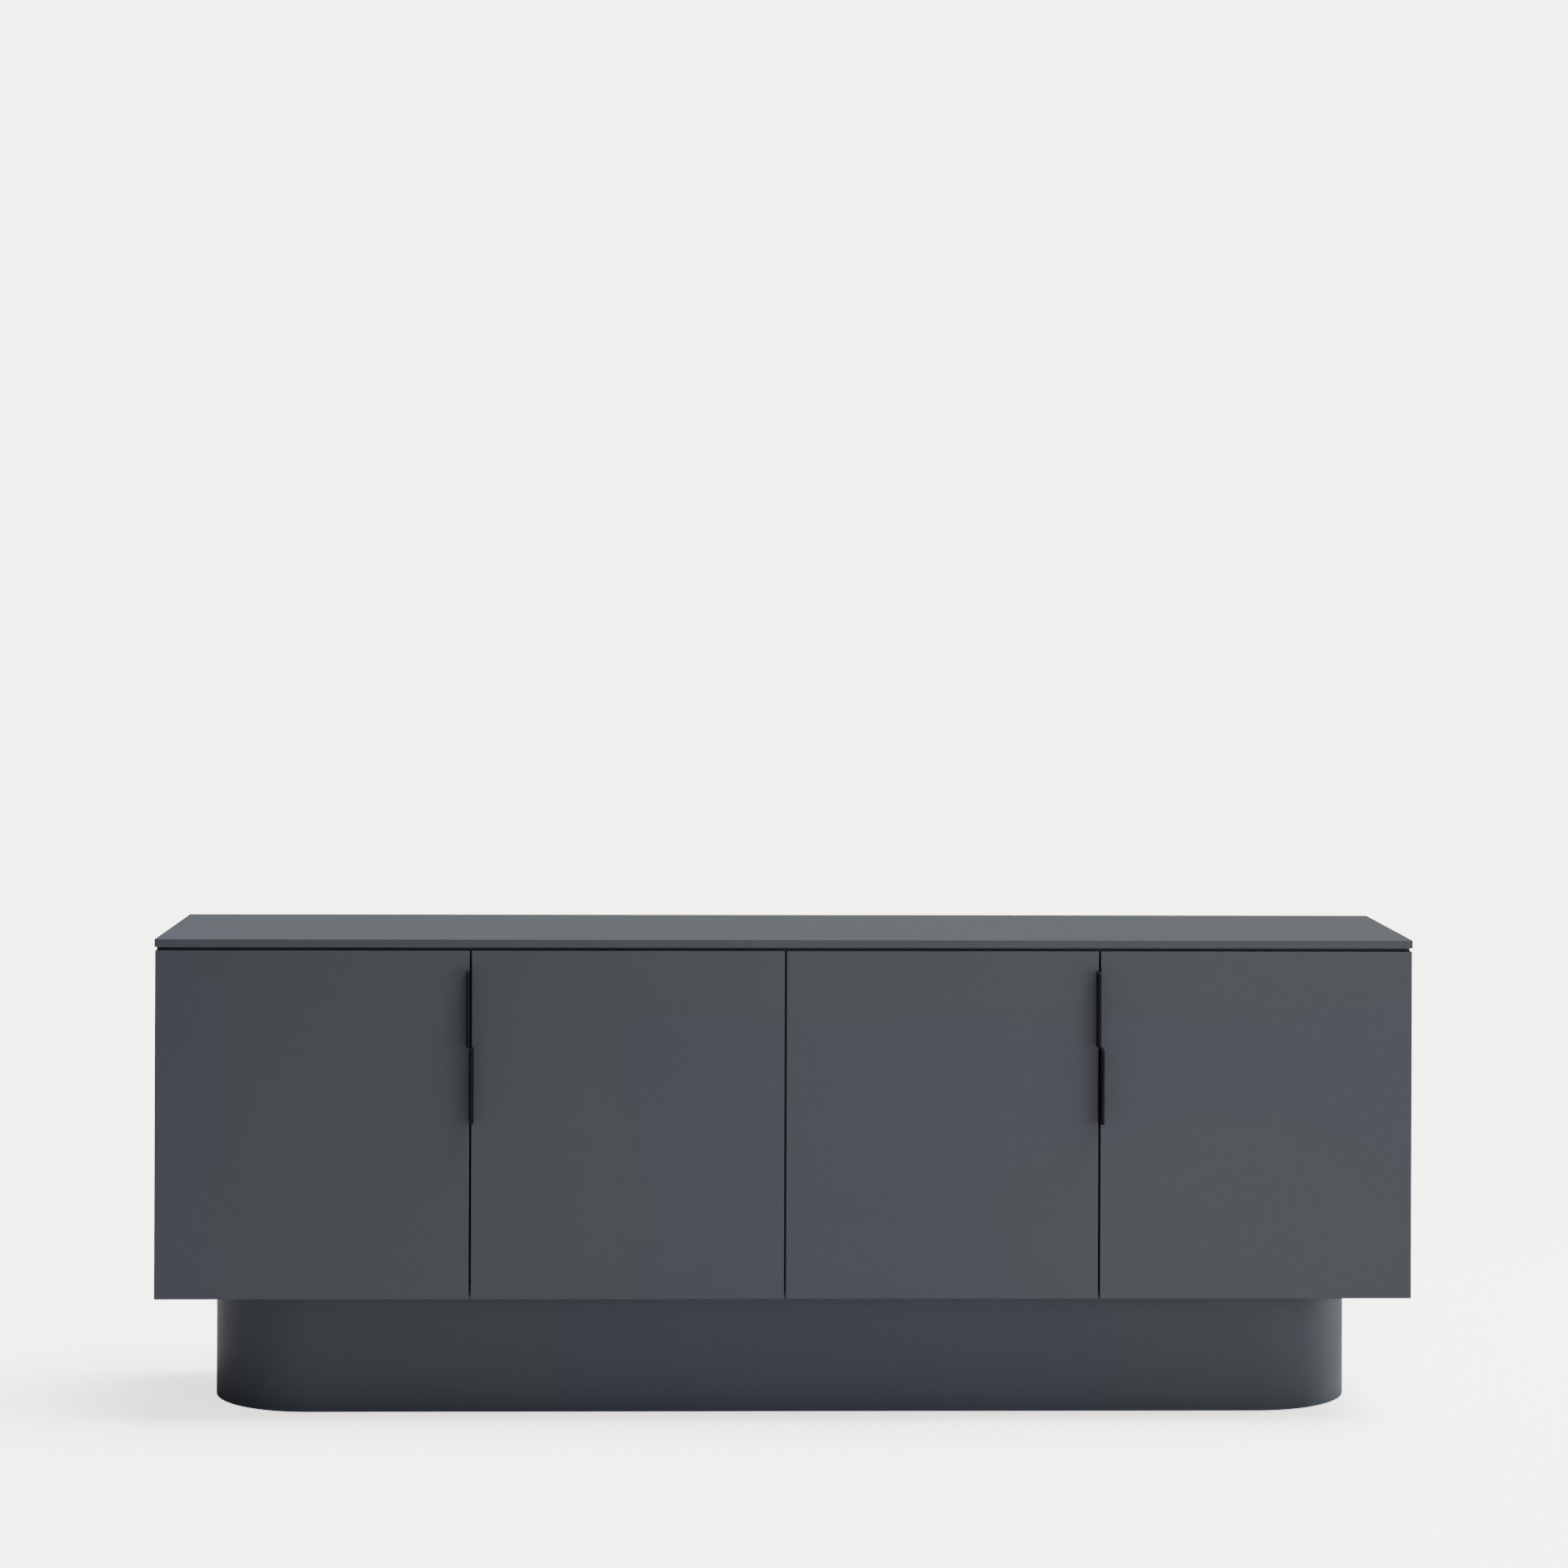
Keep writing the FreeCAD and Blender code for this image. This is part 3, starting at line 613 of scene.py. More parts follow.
@dataclass(frozen=True)
class PowderCoat:
    """Baked powder on metal: a tight, dull pebble with a little polish where fingers go.

    Attributes:
        name: The material's name.
        colour: The powder's colour.
        roughness: The coat's mean roughness.
        shine: How strongly the coat mirrors, as the shader's own level.
        pebble: The width of one pebble, in metres.
        pebble_gain: How light a pebble's rim is, as a share of the powder's own colour.
        pebble_share: How much of that lighter colour shows.
        pebble_swing: How much the pebbles add to the roughness.
        pebble_depth: The pebbles' depth, in metres.
        touch: Where fingers go.
        touch_swing: How much they change the roughness.
    """

    name: str
    colour: Colour
    roughness: float = 0.5
    shine: float = 0.2
    pebble: float = 0.45 * MM
    pebble_gain: float = 1.6
    pebble_share: float = 0.5
    pebble_swing: float = 0.08
    pebble_depth: float = 0.04 * MM
    touch: Cloud = Cloud(0.03, rise=(0.35, 0.7))
    touch_swing: float = 0.1

    def material(self) -> bpy.types.Material:
        """Make the material.

        Returns:
            The finished material.
        """
        sheet = NodeSheet(self.name)
        pebble = Value(sheet, sheet.cells(self.pebble, Cells.SOFT).outputs["Distance"])
        polish = (MEAN - sheet.noise(self.touch)) * self.touch_swing
        lighter = scaled(self.colour, self.pebble_gain)
        return sheet.finish(
            Base_Color=sheet.blend(pebble * self.pebble_share, self.colour, lighter),
            Roughness=self.roughness + polish + pebble * self.pebble_swing,
            Normal=sheet.relief(pebble, self.pebble_depth),
            Specular_IOR_Level=self.shine,
        )


@dataclass(frozen=True)
class Plating:
    """Nickel or zinc plate on pressed steel: fine drawing lines and small dull blooms.

    Attributes:
        name: The material's name.
        colour: The plate's colour.
        bloom: The colour of the duller patches.
        roughness: The plate's mean roughness.
        lines: The drawing lines.
        line_swing: How much they change the roughness.
        line_depth: Their depth, in metres.
        blooms: Where the duller patches are.
        bloom_share: How much of their colour they take.
        bloom_swing: How much they add to the roughness.
    """

    name: str
    colour: Colour
    bloom: Colour
    roughness: float = 0.27
    lines: Cloud = Cloud(0.25 * MM, 2.0, 0.6, (1.0, 0.06, 1.0))
    line_swing: float = 0.12
    line_depth: float = 0.01 * MM
    blooms: Cloud = Cloud(7.0 * MM, 3.0, 0.6, rise=(0.45, 0.75))
    bloom_share: float = 0.6
    bloom_swing: float = 0.14

    def material(self) -> bpy.types.Material:
        """Make the material.

        Returns:
            The finished material.
        """
        sheet = NodeSheet(self.name)
        lines = sheet.noise(self.lines)
        blooms = sheet.noise(self.blooms)
        drawn = (lines - MEAN) * self.line_swing
        return sheet.finish(
            Base_Color=sheet.blend(blooms * self.bloom_share, self.colour, self.bloom),
            Metallic=1.0,
            Roughness=self.roughness + blooms * self.bloom_swing + drawn,
            Normal=sheet.relief(lines, self.line_depth),
        )


@dataclass(frozen=True)
class Moulding:
    """Injection-moulded plastic with a spark-eroded texture.

    Attributes:
        name: The material's name.
        colour: The plastic's colour.
        roughness: The mean roughness.
        grain: The texture.
        grain_swing: How much the texture changes the roughness.
        grain_depth: The texture's depth, in metres.
        scuffs: Where the plastic is scuffed.
        scuff_gain: How light a scuff is, as a share of the plastic's own colour.
        scuff_lift: What is added to that.
        scuff_share: How much of the scuffs' colour shows.
        scuff_swing: How much a scuff adds to the roughness.
    """

    name: str
    colour: Colour
    roughness: float
    grain: Cloud = Cloud(0.3 * MM, 2.0, 0.7)
    grain_swing: float = 0.12
    grain_depth: float = 0.02 * MM
    scuffs: Cloud = Cloud(5.0 * MM, 4.0, 0.65, (1.0, 0.3, 1.0), (0.58, 0.7))
    scuff_gain: float = 1.35
    scuff_lift: float = 0.01
    scuff_share: float = 0.4
    scuff_swing: float = 0.08

    def material(self) -> bpy.types.Material:
        """Make the material.

        Returns:
            The finished material.
        """
        sheet = NodeSheet(self.name)
        texture = sheet.noise(self.grain)
        scuffs = sheet.noise(self.scuffs)
        scuffed = tuple(self.scuff_gain * c + self.scuff_lift for c in self.colour)
        swing = (texture - MEAN) * self.grain_swing
        return sheet.finish(
            Base_Color=sheet.blend(scuffs * self.scuff_share, self.colour, scuffed),
            Roughness=self.roughness + swing + scuffs * self.scuff_swing,
            Normal=sheet.relief(texture, self.grain_depth),
        )


@dataclass(frozen=True)
class Finishes:
    """Every finish of the piece, by the name of its slot."""

    slate_lacquer: Lacquer = Lacquer(
        "slate_lacquer",
        (0.0655, 0.0700, 0.0915),
        (0.0650, 0.0757, 0.0858),
        (
            Patch((-0.56, 0.0, 0.40), (0.42, 2.0, 0.9)),
            Patch((0.68, -0.19, 0.28), (0.40, 1.0, 0.26)),
            Patch((0.1, 0.1, 0.772), (1.6, 0.6, 0.2)),
        ),
    )
    plinth_lacquer: Lacquer = Lacquer(
        "plinth_lacquer",
        (0.0570, 0.0640, 0.0900),
        (0.0565, 0.0680, 0.0840),
        (
            Patch((-0.62, 0.0, 0.1), (0.30, 2.0, 0.5)),
            Patch((0.72, 0.0, 0.1), (0.26, 2.0, 0.5)),
        ),
    )
    slate_board: FacedBoard = FacedBoard("slate_board", (0.080, 0.089, 0.100), (0.17, 0.18, 0.2))
    raw_board: Chipboard = Chipboard(
        "raw_board",
        ((0.24, 0.15, 0.08), (0.4, 0.28, 0.17), (0.52, 0.39, 0.25), (0.64, 0.51, 0.35)),
    )
    beech: Beech = Beech("beech", (0.62, 0.44, 0.27), (0.38, 0.22, 0.11))
    black_metal: PowderCoat = PowderCoat("black_metal", (0.0030, 0.0029, 0.0028))
    plated_steel: Plating = Plating("plated_steel", (0.70, 0.69, 0.66), (0.52, 0.52, 0.51))
    black_plastic: Moulding = Moulding("black_plastic", (0.018, 0.018, 0.019), 0.5)
    slate_plastic: Moulding = Moulding("slate_plastic", (0.075, 0.085, 0.098), 0.5)
    soft_bumper: Moulding = Moulding(
        "soft_bumper", (0.72, 0.73, 0.73), 0.3, Cloud(0.8 * MM, 2.0, 0.7)
    )


class Paintbox:
    """Makes each finish's material once and puts it on pieces."""

    def __init__(self, finishes: Finishes) -> None:
        """Make the materials of all finishes."""
        self.materials = {slot: getattr(finishes, slot.value).material() for slot in Slot}

    def dress(self, piece: bpy.types.Object, slot: Slot) -> None:
        """Give a piece the finish of a slot."""
        piece.data.materials.clear()
        piece.data.materials.append(self.materials[slot])

    def dress_nodes(self, slots: Mapping[Slot, Sequence[str]]) -> None:
        """Give frame nodes their finishes.

        Args:
            slots: The nodes' names, listed by slot.
        """
        for slot, names in slots.items():
            for name in names:
                self.dress(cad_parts[name], slot)
                LOG.info("dressed %s in %s", name, slot.value)


# ---------------------------------------------------------------- mesh work
def new_object(name: str, data: bpy.types.ID) -> bpy.types.Object:
    """Put a mesh, a lamp or a camera into the scene.

    Args:
        name: The object's name.
        data: What it shows, lights with or looks through.

    Returns:
        The object.
    """
    made = bpy.data.objects.new(name, data)
    bpy.context.scene.collection.objects.link(made)
    return made


def new_mesh(name: str, solid: bmesh.types.BMesh) -> bpy.types.Mesh:
    """Turn a finished solid into a mesh and let the solid go.

    Args:
        name: The mesh's name.
        solid: What goes into it.

    Returns:
        The mesh.
    """
    mesh = bpy.data.meshes.new(name)
    solid.to_mesh(mesh)
    solid.free()
    return mesh


def lathe(name: str, profile: Sequence[tuple[float, float]], segments: int) -> bpy.types.Mesh:
    """Turn a profile about the Z axis.

    Args:
        name: The mesh's name.
        profile: (radius, height) pairs from the top's middle to the bottom's middle.
        segments: How many flats go round.

    Returns:
        A closed mesh.
    """
    solid = bmesh.new()
    angles = [2 * math.pi * i / segments for i in range(segments)]
    rings = []
    for radius, height in profile:
        if radius < ON_AXIS:
            rings.append([solid.verts.new((0.0, 0.0, height))])
            continue
        corners = [(radius * math.cos(a), radius * math.sin(a), height) for a in angles]
        rings.append([solid.verts.new(corner) for corner in corners])
    for upper, lower in zip(rings, rings[1:]):
        for i in range(segments):
            j = (i + 1) % segments
            corners = [
                upper[i % len(upper)],
                lower[i % len(lower)],
                lower[j % len(lower)],
                upper[j % len(upper)],
            ]
            solid.faces.new(list(dict.fromkeys(corners)))
    bmesh.ops.recalc_face_normals(solid, faces=solid.faces)
    return new_mesh(name, solid)


def prism(
    outline: Sequence[tuple[float, float]], floor: float, top: float, taper: float
) -> bmesh.types.BMesh:
    """Make a prism that narrows towards its floor.

    Args:
        outline: The (x, y) corners at the top.
        floor: The floor's height.
        top: The top's height.
        taper: The floor outline's size as a share of the top's.

    Returns:
        The closed prism.
    """
    solid = bmesh.new()
    upper = [solid.verts.new((x, y, top)) for x, y in outline]
    lower = [solid.verts.new((x * taper, y * taper, floor)) for x, y in outline]
    solid.faces.new(upper)
    solid.faces.new(lower[::-1])
    for i in range(len(outline)):
        j = (i + 1) % len(outline)
        solid.faces.new([upper[j], upper[i], lower[i], lower[j]])
    bmesh.ops.recalc_face_normals(solid, faces=solid.faces)
    return solid


class Drive(Enum):
    """What a screwdriver finds in a fastener's head."""

    CROSS = "cross"
    NONE = "none"


class Head(Enum):
    """The shape of a fastener's head."""

    COUNTERSUNK = "countersunk"
    PAN = "pan"
    DISC = "disc"
    DOME = "dome"


@dataclass(frozen=True)
class Fastener:
    """One fastener, with its head's top at the origin and its shank down the Z axis.

    Attributes:
        head: The head's shape.
        drive: What turns it.
        head_radius: The head's radius, in metres, as are the other sizes.
        head_height: The head's height.
        shank_radius: The shank's radius over the threads, or 0 for no shank.
        length: The whole length.
        pitch: The thread's pitch, or 0 for a plain shank.
        segments: How many flats go round it.
    """

    head: Head
    drive: Drive
    head_radius: float
    head_height: float
    shank_radius: float = 0.0
    length: float = 0.0
    pitch: float = 0.0
    segments: int = 28

    def _head_profile(self) -> list[tuple[float, float]]:
        """Draw the head's outline.

        Returns:
            Its points, from its middle to where the shank starts.
        """
        r, h = self.head_radius, self.head_height
        if self.head is Head.COUNTERSUNK:
            face, rounded, rim, neck = 0.92 * r, 0.06 * h, 0.16 * h, 1.02 * self.shank_radius
            return [(0.0, 0.0), (face, 0.0), (r, -rounded), (r, -rim), (neck, -h)]
        if self.head is Head.DOME:
            crown = 0.55 * h
            turns = [math.radians(a) for a in range(0, 91, 15)]
            arc = [(r * math.sin(a), crown * (math.cos(a) - 1.0)) for a in turns]
            return arc + [(r, -h)]
        edge = 0.12 * h if self.head is Head.DISC else 0.35 * h
        bevel = 0.3 * edge
        top = [(0.0, 0.0), (r - edge, 0.0), (r - bevel, -bevel), (r, -edge)]
        return top + [(r, bevel - h), (r - bevel, -h)]

    def _shank_profile(self) -> list[tuple[float, float]]:
        """Draw the shank's outline.

        Returns:
            Its points, from below the head to the tip.
        """
        r, start, end = self.shank_radius, -self.head_height, -self.length
        if r <= 0.0:
            return [(0.0, start)]
        if self.pitch <= 0.0:
            chamfer, blunt = 0.6 * r, 0.7 * r
            return [(r, start), (r, chamfer + end), (blunt, end), (0.0, end)]
        neck, root, nose, tip = 0.82 * r, 0.72 * r, 0.45 * r, 2.0 * r
        above, below = 0.35 * self.pitch, 0.3 * self.pitch
        points = [(neck, start - below)]
        height = start - self.pitch
        while height > tip + end:
            points += [(root, height + above), (r, height), (root, height - below)]
            height -= self.pitch
        return points + [(nose, 0.35 * tip + end), (0.0, end)]

    def _drive_cutter(self) -> bpy.types.Mesh:
        """Shape the cross that is cut out of the head's top.

        Returns:
            The cutter's mesh.
        """
        reach, half = 0.56 * self.head_radius, 0.11 * self.head_radius
        depth, clear, taper = 0.62 * self.head_height, 0.1 * self.head_height, 0.7
        outline = [
            (reach, -half), (reach, half), (half, half), (half, reach),
            (-half, reach), (-half, half), (-reach, half), (-reach, -half),
            (-half, -half), (-half, -reach), (half, -reach), (half, -half),
        ]
        return new_mesh("drive_cutter", prism(outline, -depth, clear, taper))

    def mesh(self, name: str) -> bpy.types.Mesh:
        """Build the fastener.

        Args:
            name: The mesh's name.

        Returns:
            The mesh, in metres.
        """
        turned = lathe(name, self._head_profile() + self._shank_profile(), self.segments)
        if self.drive is Drive.NONE:
            return turned
        body = new_object(name + "_body", turned)
        cutter = new_object(name + "_cutter", self._drive_cutter())
        cut = body.modifiers.new("drive", "BOOLEAN")
        cut.operation = "DIFFERENCE"
        cut.solver = "EXACT"
        cut.object = cutter
        graph = bpy.context.evaluated_depsgraph_get()
        mesh = bpy.data.meshes.new_from_object(body.evaluated_get(graph))
        for used in (body, cutter):
            bpy.data.objects.remove(used)
        return mesh


def board_screw(head_radius: float, length: float, pitch: float) -> Fastener:
    """Choose a countersunk cross-head screw for boards.

    Args:
        head_radius: The head's radius, in metres. The head's height and the radius over
            the threads are half of it.
        length: The whole length.
        pitch: The thread's pitch.

    Returns:
        The screw.
    """
    half = head_radius / 2
    return Fastener(Head.COUNTERSUNK, Drive.CROSS, head_radius, half, half, length, pitch)


def solids_of(node: str) -> list[np.ndarray]:
    """The separate solids of a frame node.

    Args:
        node: The node's name.

    Returns:
        Each solid's vertices as an N by 3 array, in order of their centres.
    """
    solid = bmesh.new()
    solid.from_mesh(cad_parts[node].data)
    bmesh.ops.remove_doubles(solid, verts=solid.verts, dist=WELD)
    found, seen = [], set()
    for start in solid.verts:
        if start in seen:
            continue
        seen.add(start)
        group, queue = [], [start]
        while queue:
            vertex = queue.pop()
            group.append(vertex.co[:])
            for edge in vertex.link_edges:
                other = edge.other_vert(vertex)
                if other not in seen:
                    seen.add(other)
                    queue.append(other)
        found.append(np.array(group))
    solid.free()
    return sorted(found, key=lambda points: tuple(np.round(points.mean(0), ORDER_DECIMALS)))


def seat_of(points: np.ndarray, axis: Axis) -> Seat:
    """Where a fastener's head ends and which way it looks, with the wider end as its head.

    Args:
        points: The vertices of its solid.
        axis: The axis that it lies along.

    Returns:
        The middle of the head's top and the direction out of it.
    """
    low, high = points.min(0), points.max(0)
    centre = (low + high) / 2
    along = points[:, axis]
    across = np.delete(points - centre, axis, axis=1)
    radius = np.hypot(across[:, 0], across[:, 1])
    end = END_SHARE * (high[axis] - low[axis])
    at_high = radius[along > high[axis] - end].max()
    at_low = radius[along < low[axis] + end].max()
    sign = 1.0 if at_high >= at_low else -1.0
    top = centre.copy()
    top[axis] = high[axis] if sign > 0 else low[axis]
    direction = Vector((0.0, 0.0, 0.0))
    direction[axis] = sign
    return Vector(top), direction


def low_seats(node: str, axis: Axis) -> list[Seat]:
    """Seats for heads that all look towards the low end of an axis.

    Args:
        node: The frame node that holds the plain solids.
        axis: The axis that they lie along.

    Returns:
        For each solid, the middle of its low end and the direction out of it.
    """
    direction = Vector((0.0, 0.0, 0.0))
    direction[axis] = -1.0
    seats = []
    for points in solids_of(node):
        low, high = points.min(0), points.max(0)
        top = (low + high) / 2
        top[axis] = low[axis]
        seats.append((Vector(top), direction))
    return seats


def soften(piece: bpy.types.Object) -> None:
    """Shade a turned or moulded piece smooth, except at its sharp edges.

    Args:
        piece: The piece.
    """
    piece.data.shade_smooth()
    limit = math.radians(SHARP_ANGLE)
    solid = bmesh.new()
    solid.from_mesh(piece.data)
    for edge in solid.edges:
        edge.smooth = len(edge.link_faces) == 2 and edge.calc_face_angle(0.0) < limit
    solid.to_mesh(piece.data)
    solid.free()


def copies_on(mesh: bpy.types.Mesh, seats: Iterable[Seat], name: str) -> bpy.types.Object:
    """Set a copy of a mesh on each seat and join them all.

    Args:
        mesh: What is copied, with its top at the origin and looking along +Z.
        seats: Where each top goes and which way it looks.
        name: The joined object's name.

    Returns:
        The joined object.
    """
    up = Vector((0.0, 0.0, 1.0))
    joined = bmesh.new()
    for number, (top, direction) in enumerate(seats):
        copy = mesh.copy()
        turn = up.rotation_difference(direction).to_matrix().to_4x4()
        twist = Matrix.Rotation(NEXT_TWIST * number + FIRST_TWIST, 4, "Z")
        copy.transform(Matrix.Translation(top) @ turn @ twist)
        joined.from_mesh(copy)
        bpy.data.meshes.remove(copy)
    return new_object(name, new_mesh(name, joined))


@dataclass(frozen=True)
class Fitter:
    """Fits detailed pieces to one body.

    Attributes:
        paint: The materials.
        body: The body that the pieces move with.
    """

    paint: Paintbox
    body: str

    def fit(
        self, name: str, fastener: Fastener, seats: Iterable[Seat], slot: Slot, *replaced: str
    ) -> None:
        """Set a fastener on each seat, as one finished piece that is tied to the frame.

        Args:
            name: The piece's name.
            fastener: What goes on each seat.
            seats: Where each head goes and which way it looks.
            slot: The slot of the piece's finish.
            replaced: The frame nodes that it stands for.
        """
        piece = copies_on(fastener.mesh(f"{name}_single"), seats, name)
        soften(piece)
        self.paint.dress(piece, slot)
        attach(piece, self.body)
        if replaced:
            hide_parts(*replaced)
        LOG.info("built %s on %s in %s", name, self.body, slot.value)

    def refit(
        self, node: str, fastener: Fastener, axis: Axis, slot: Slot = Slot.PLATED_STEEL
    ) -> None:
        """Swap a node's plain fasteners for detailed ones on the same seats.

        Args:
            node: The frame node.
            fastener: What takes the place of each of its solids.
            axis: The axis that they lie along.
            slot: The slot of their finish.
        """
        seats = [seat_of(points, axis) for points in solids_of(node)]
        self.fit(f"{node}_detailed", fastener, seats, slot, node)


# ---------------------------------------------------------------- the piece, part by part
class SubAssembly(ABC):
    """A part of the sideboard, which dresses its frame nodes and builds its detailed pieces."""

    @abstractmethod
    def slots(self) -> Mapping[Slot, Sequence[str]]:
        """The frame nodes that show as they are, listed by finish."""

    @abstractmethod
    def build(self, paint: Paintbox) -> None:
        """Make the pieces that take the place of plain ones, or that the frame lacks."""

    def dress(self, paint: Paintbox) -> None:
        """Put the finishes on the frame nodes that show as they are."""
        paint.dress_nodes(self.slots())


@dataclass(frozen=True)
class Carcass(SubAssembly):
    """The cabinet body: top, sides, floor, partition, back, rails, shelves and their joinery.

    Attributes:
        cam_lock: The round cams in the underside of the floor and rails.
        back_screw: The screws round the back.
        top_screw: The screws up into the top.
        bumper: The soft pads that the doors close on.
    """

    cam_lock: Fastener = Fastener(Head.DISC, Drive.CROSS, 7.4 * MM, 12.4 * MM)
    back_screw: Fastener = board_screw(3.2 * MM, 20 * MM, 1.4 * MM)
    top_screw: Fastener = board_screw(4.0 * MM, 27 * MM, 1.8 * MM)
    bumper: Fastener = Fastener(Head.DOME, Drive.NONE, 4.0 * MM, 2.4 * MM)

    def slots(self) -> Mapping[Slot, Sequence[str]]:
        """The boards and the hidden joinery, listed by finish."""
        return {
            Slot.SLATE_LACQUER: ("top_panel", "side_panel_left", "side_panel_right"),
            Slot.SLATE_BOARD: (
                "bottom_panel", "centre_partition", "back_panel", "front_top_rails",
                "rear_top_rails", "shelf_left", "shelf_right",
            ),
            Slot.BEECH: ("dowels",),
            Slot.PLATED_STEEL: ("shelf_pins", "cam_bolts"),
            Slot.SLATE_PLASTIC: ("screw_caps",),
        }

    def build(self, paint: Paintbox) -> None:
        """Make the cams, screws and bumpers in detail.

        Args:
            paint: The materials.
        """
        fitter = Fitter(paint, CARCASS)
        cams, bumpers = low_seats("cam_locks", Axis.Z), low_seats("door_bumpers", Axis.Y)
        fitter.fit("cam_locks_detailed", self.cam_lock, cams, Slot.PLATED_STEEL, "cam_locks")
        fitter.refit("back_panel_screws", self.back_screw, Axis.Y)
        fitter.refit("top_fixing_screws", self.top_screw, Axis.Z)
        fitter.fit(
            "door_bumpers_domed", self.bumper, bumpers, Slot.SOFT_BUMPER, "door_bumpers"
        )


@dataclass(frozen=True)
class HingeFittings(SubAssembly):
    """The carcass half of the eight concealed hinges.

    Attributes:
        plate_screw: The two screws through each plate's wings.
        clamp_screw: The machine screw that clamps an arm to its plate.
        adjuster: The grub screw in an arm that moves its door sideways.
        adjuster_ahead: How far the adjuster sits in front of the clamp screw, in metres.
        adjuster_sink: How far its face lies below the clamp screw's, in metres.
    """

    plate_screw: Fastener = board_screw(5.0 * MM, 15 * MM, 2.2 * MM)
    clamp_screw: Fastener = Fastener(
        Head.PAN, Drive.CROSS, 3.4 * MM, 2.0 * MM, 2.0 * MM, 10 * MM
    )
    adjuster: Fastener = Fastener(Head.DISC, Drive.CROSS, 2.6 * MM, 1.3 * MM)
    adjuster_ahead: float = 16.0 * MM
    adjuster_sink: float = 1.4 * MM

    def slots(self) -> Mapping[Slot, Sequence[str]]:
        """The plates, arms and arm pins."""
        return {Slot.PLATED_STEEL: ("hinge_plates", "hinge_arms", "hinge_arm_pins")}

    def build(self, paint: Paintbox) -> None:
        """Make the screws in detail and add the adjusters.

        Args:
            paint: The materials.
        """
        fitter = Fitter(paint, CARCASS)
        ahead = Vector((0.0, -self.adjuster_ahead, 0.0))
        clamps = [seat_of(points, Axis.X) for points in solids_of("hinge_arm_screws")]
        places = [(top + ahead - self.adjuster_sink * out, out) for top, out in clamps]
        fitter.refit("hinge_plate_screws", self.plate_screw, Axis.X)
        fitter.refit("hinge_arm_screws", self.clamp_screw, Axis.X)
        fitter.fit("hinge_side_adjusters", self.adjuster, places, Slot.PLATED_STEEL)


@dataclass(frozen=True)
class DoorLeaf(SubAssembly):
    """One door with its handle, cups and links.

    Attributes:
        body: The door's body in the frame.
        cup_screw: The screws that hold the cups.
        handle_screw: The screws through the handle's tail.
    """

    body: str
    cup_screw: Fastener = board_screw(3.5 * MM, 15 * MM, 1.6 * MM)
    handle_screw: Fastener = board_screw(3.8 * MM, 24 * MM, 1.7 * MM)

    def slots(self) -> Mapping[Slot, Sequence[str]]:
        """The panel, handle, cups, pins and links, listed by finish."""
        return {
            Slot.SLATE_LACQUER: (f"{self.body}_panel",),
            Slot.BLACK_METAL: (f"{self.body}_handle",),
            Slot.PLATED_STEEL: (
                f"{self.body}_hinge_cups", f"{self.body}_cup_pins", f"{self.body}_hinge_links",
            ),
        }

    def build(self, paint: Paintbox) -> None:
        """Make the door's screws in detail.

        Args:
            paint: The materials.
        """
        fitter = Fitter(paint, self.body)
        fitter.refit(f"{self.body}_cup_screws", self.cup_screw, Axis.Y)
        fitter.refit(
            f"{self.body}_handle_screws", self.handle_screw, Axis.X, Slot.BLACK_METAL
        )


@dataclass(frozen=True)
class Plinth(SubAssembly):
    """The long base with rounded ends, its frames, ribs and glides.

    Attributes:
        screw: The screws down through the cabinet's floor.
    """

    screw: Fastener = board_screw(5.0 * MM, 33 * MM, 2.2 * MM)

    def slots(self) -> Mapping[Slot, Sequence[str]]:
        """The skin, frames, ribs and glides, listed by finish."""
        return {
            Slot.PLINTH_LACQUER: ("plinth_front_skin", "plinth_back_board"),
            Slot.RAW_BOARD: ("plinth_top_frame", "plinth_bottom_frame", "plinth_ribs"),
            Slot.BLACK_PLASTIC: ("plinth_glides",),
        }

    def build(self, paint: Paintbox) -> None:
        """Make the plinth's screws in detail."""
        Fitter(paint, CARCASS).refit("plinth_screws", self.screw, Axis.Z)


# ---------------------------------------------------------------- floor, light and camera
def hang(lamp: bpy.types.Light, place: Point, axis: str, direction: Vector) -> None:
    """Put a lamp into the scene.

    Args:
        lamp: The lamp.
        place: Where it hangs, in metres.
        axis: The lamp's axis that is turned, with its sign. The lamp shines along -Z.
        direction: Where that axis points.
    """
    holder = new_object(lamp.name, lamp)
    holder.location = place
    holder.rotation_euler = direction.to_track_quat(axis, "Y").to_euler()
    LOG.info("lit %s", lamp.name)


@dataclass(frozen=True)
class SoftLight:
    """One soft box.

    Attributes:
        name: The light's name.
        place: Where it stands, in metres.
        aim: The point that it faces.
        size: Its width and height.
        power: Its power in watts.
    """

    name: str
    place: Point
    aim: Point
    size: tuple[float, float]
    power: float

    def build(self) -> None:
        """Add the light to the scene."""
        lamp = bpy.data.lights.new(self.name, "AREA")
        lamp.shape = "RECTANGLE"
        lamp.size, lamp.size_y = self.size
        lamp.energy = self.power
        hang(lamp, self.place, "-Z", Vector(self.aim) - Vector(self.place))


@dataclass(frozen=True)
class SkyLight:
    """A very wide, even light from above.

    Attributes:
        name: The light's name.
        source: The direction that it comes from.
        spread: The angle that it fills, in degrees.
        strength: Its strength.
    """

    name: str
    source: Point
    spread: float
    strength: float

    def build(self) -> None:
        """Add the light to the scene."""
        lamp = bpy.data.lights.new(self.name, "SUN")
        lamp.angle = math.radians(self.spread)
        lamp.energy = self.strength
        hang(lamp, (0.0, 0.0, 0.0), "Z", Vector(self.source))


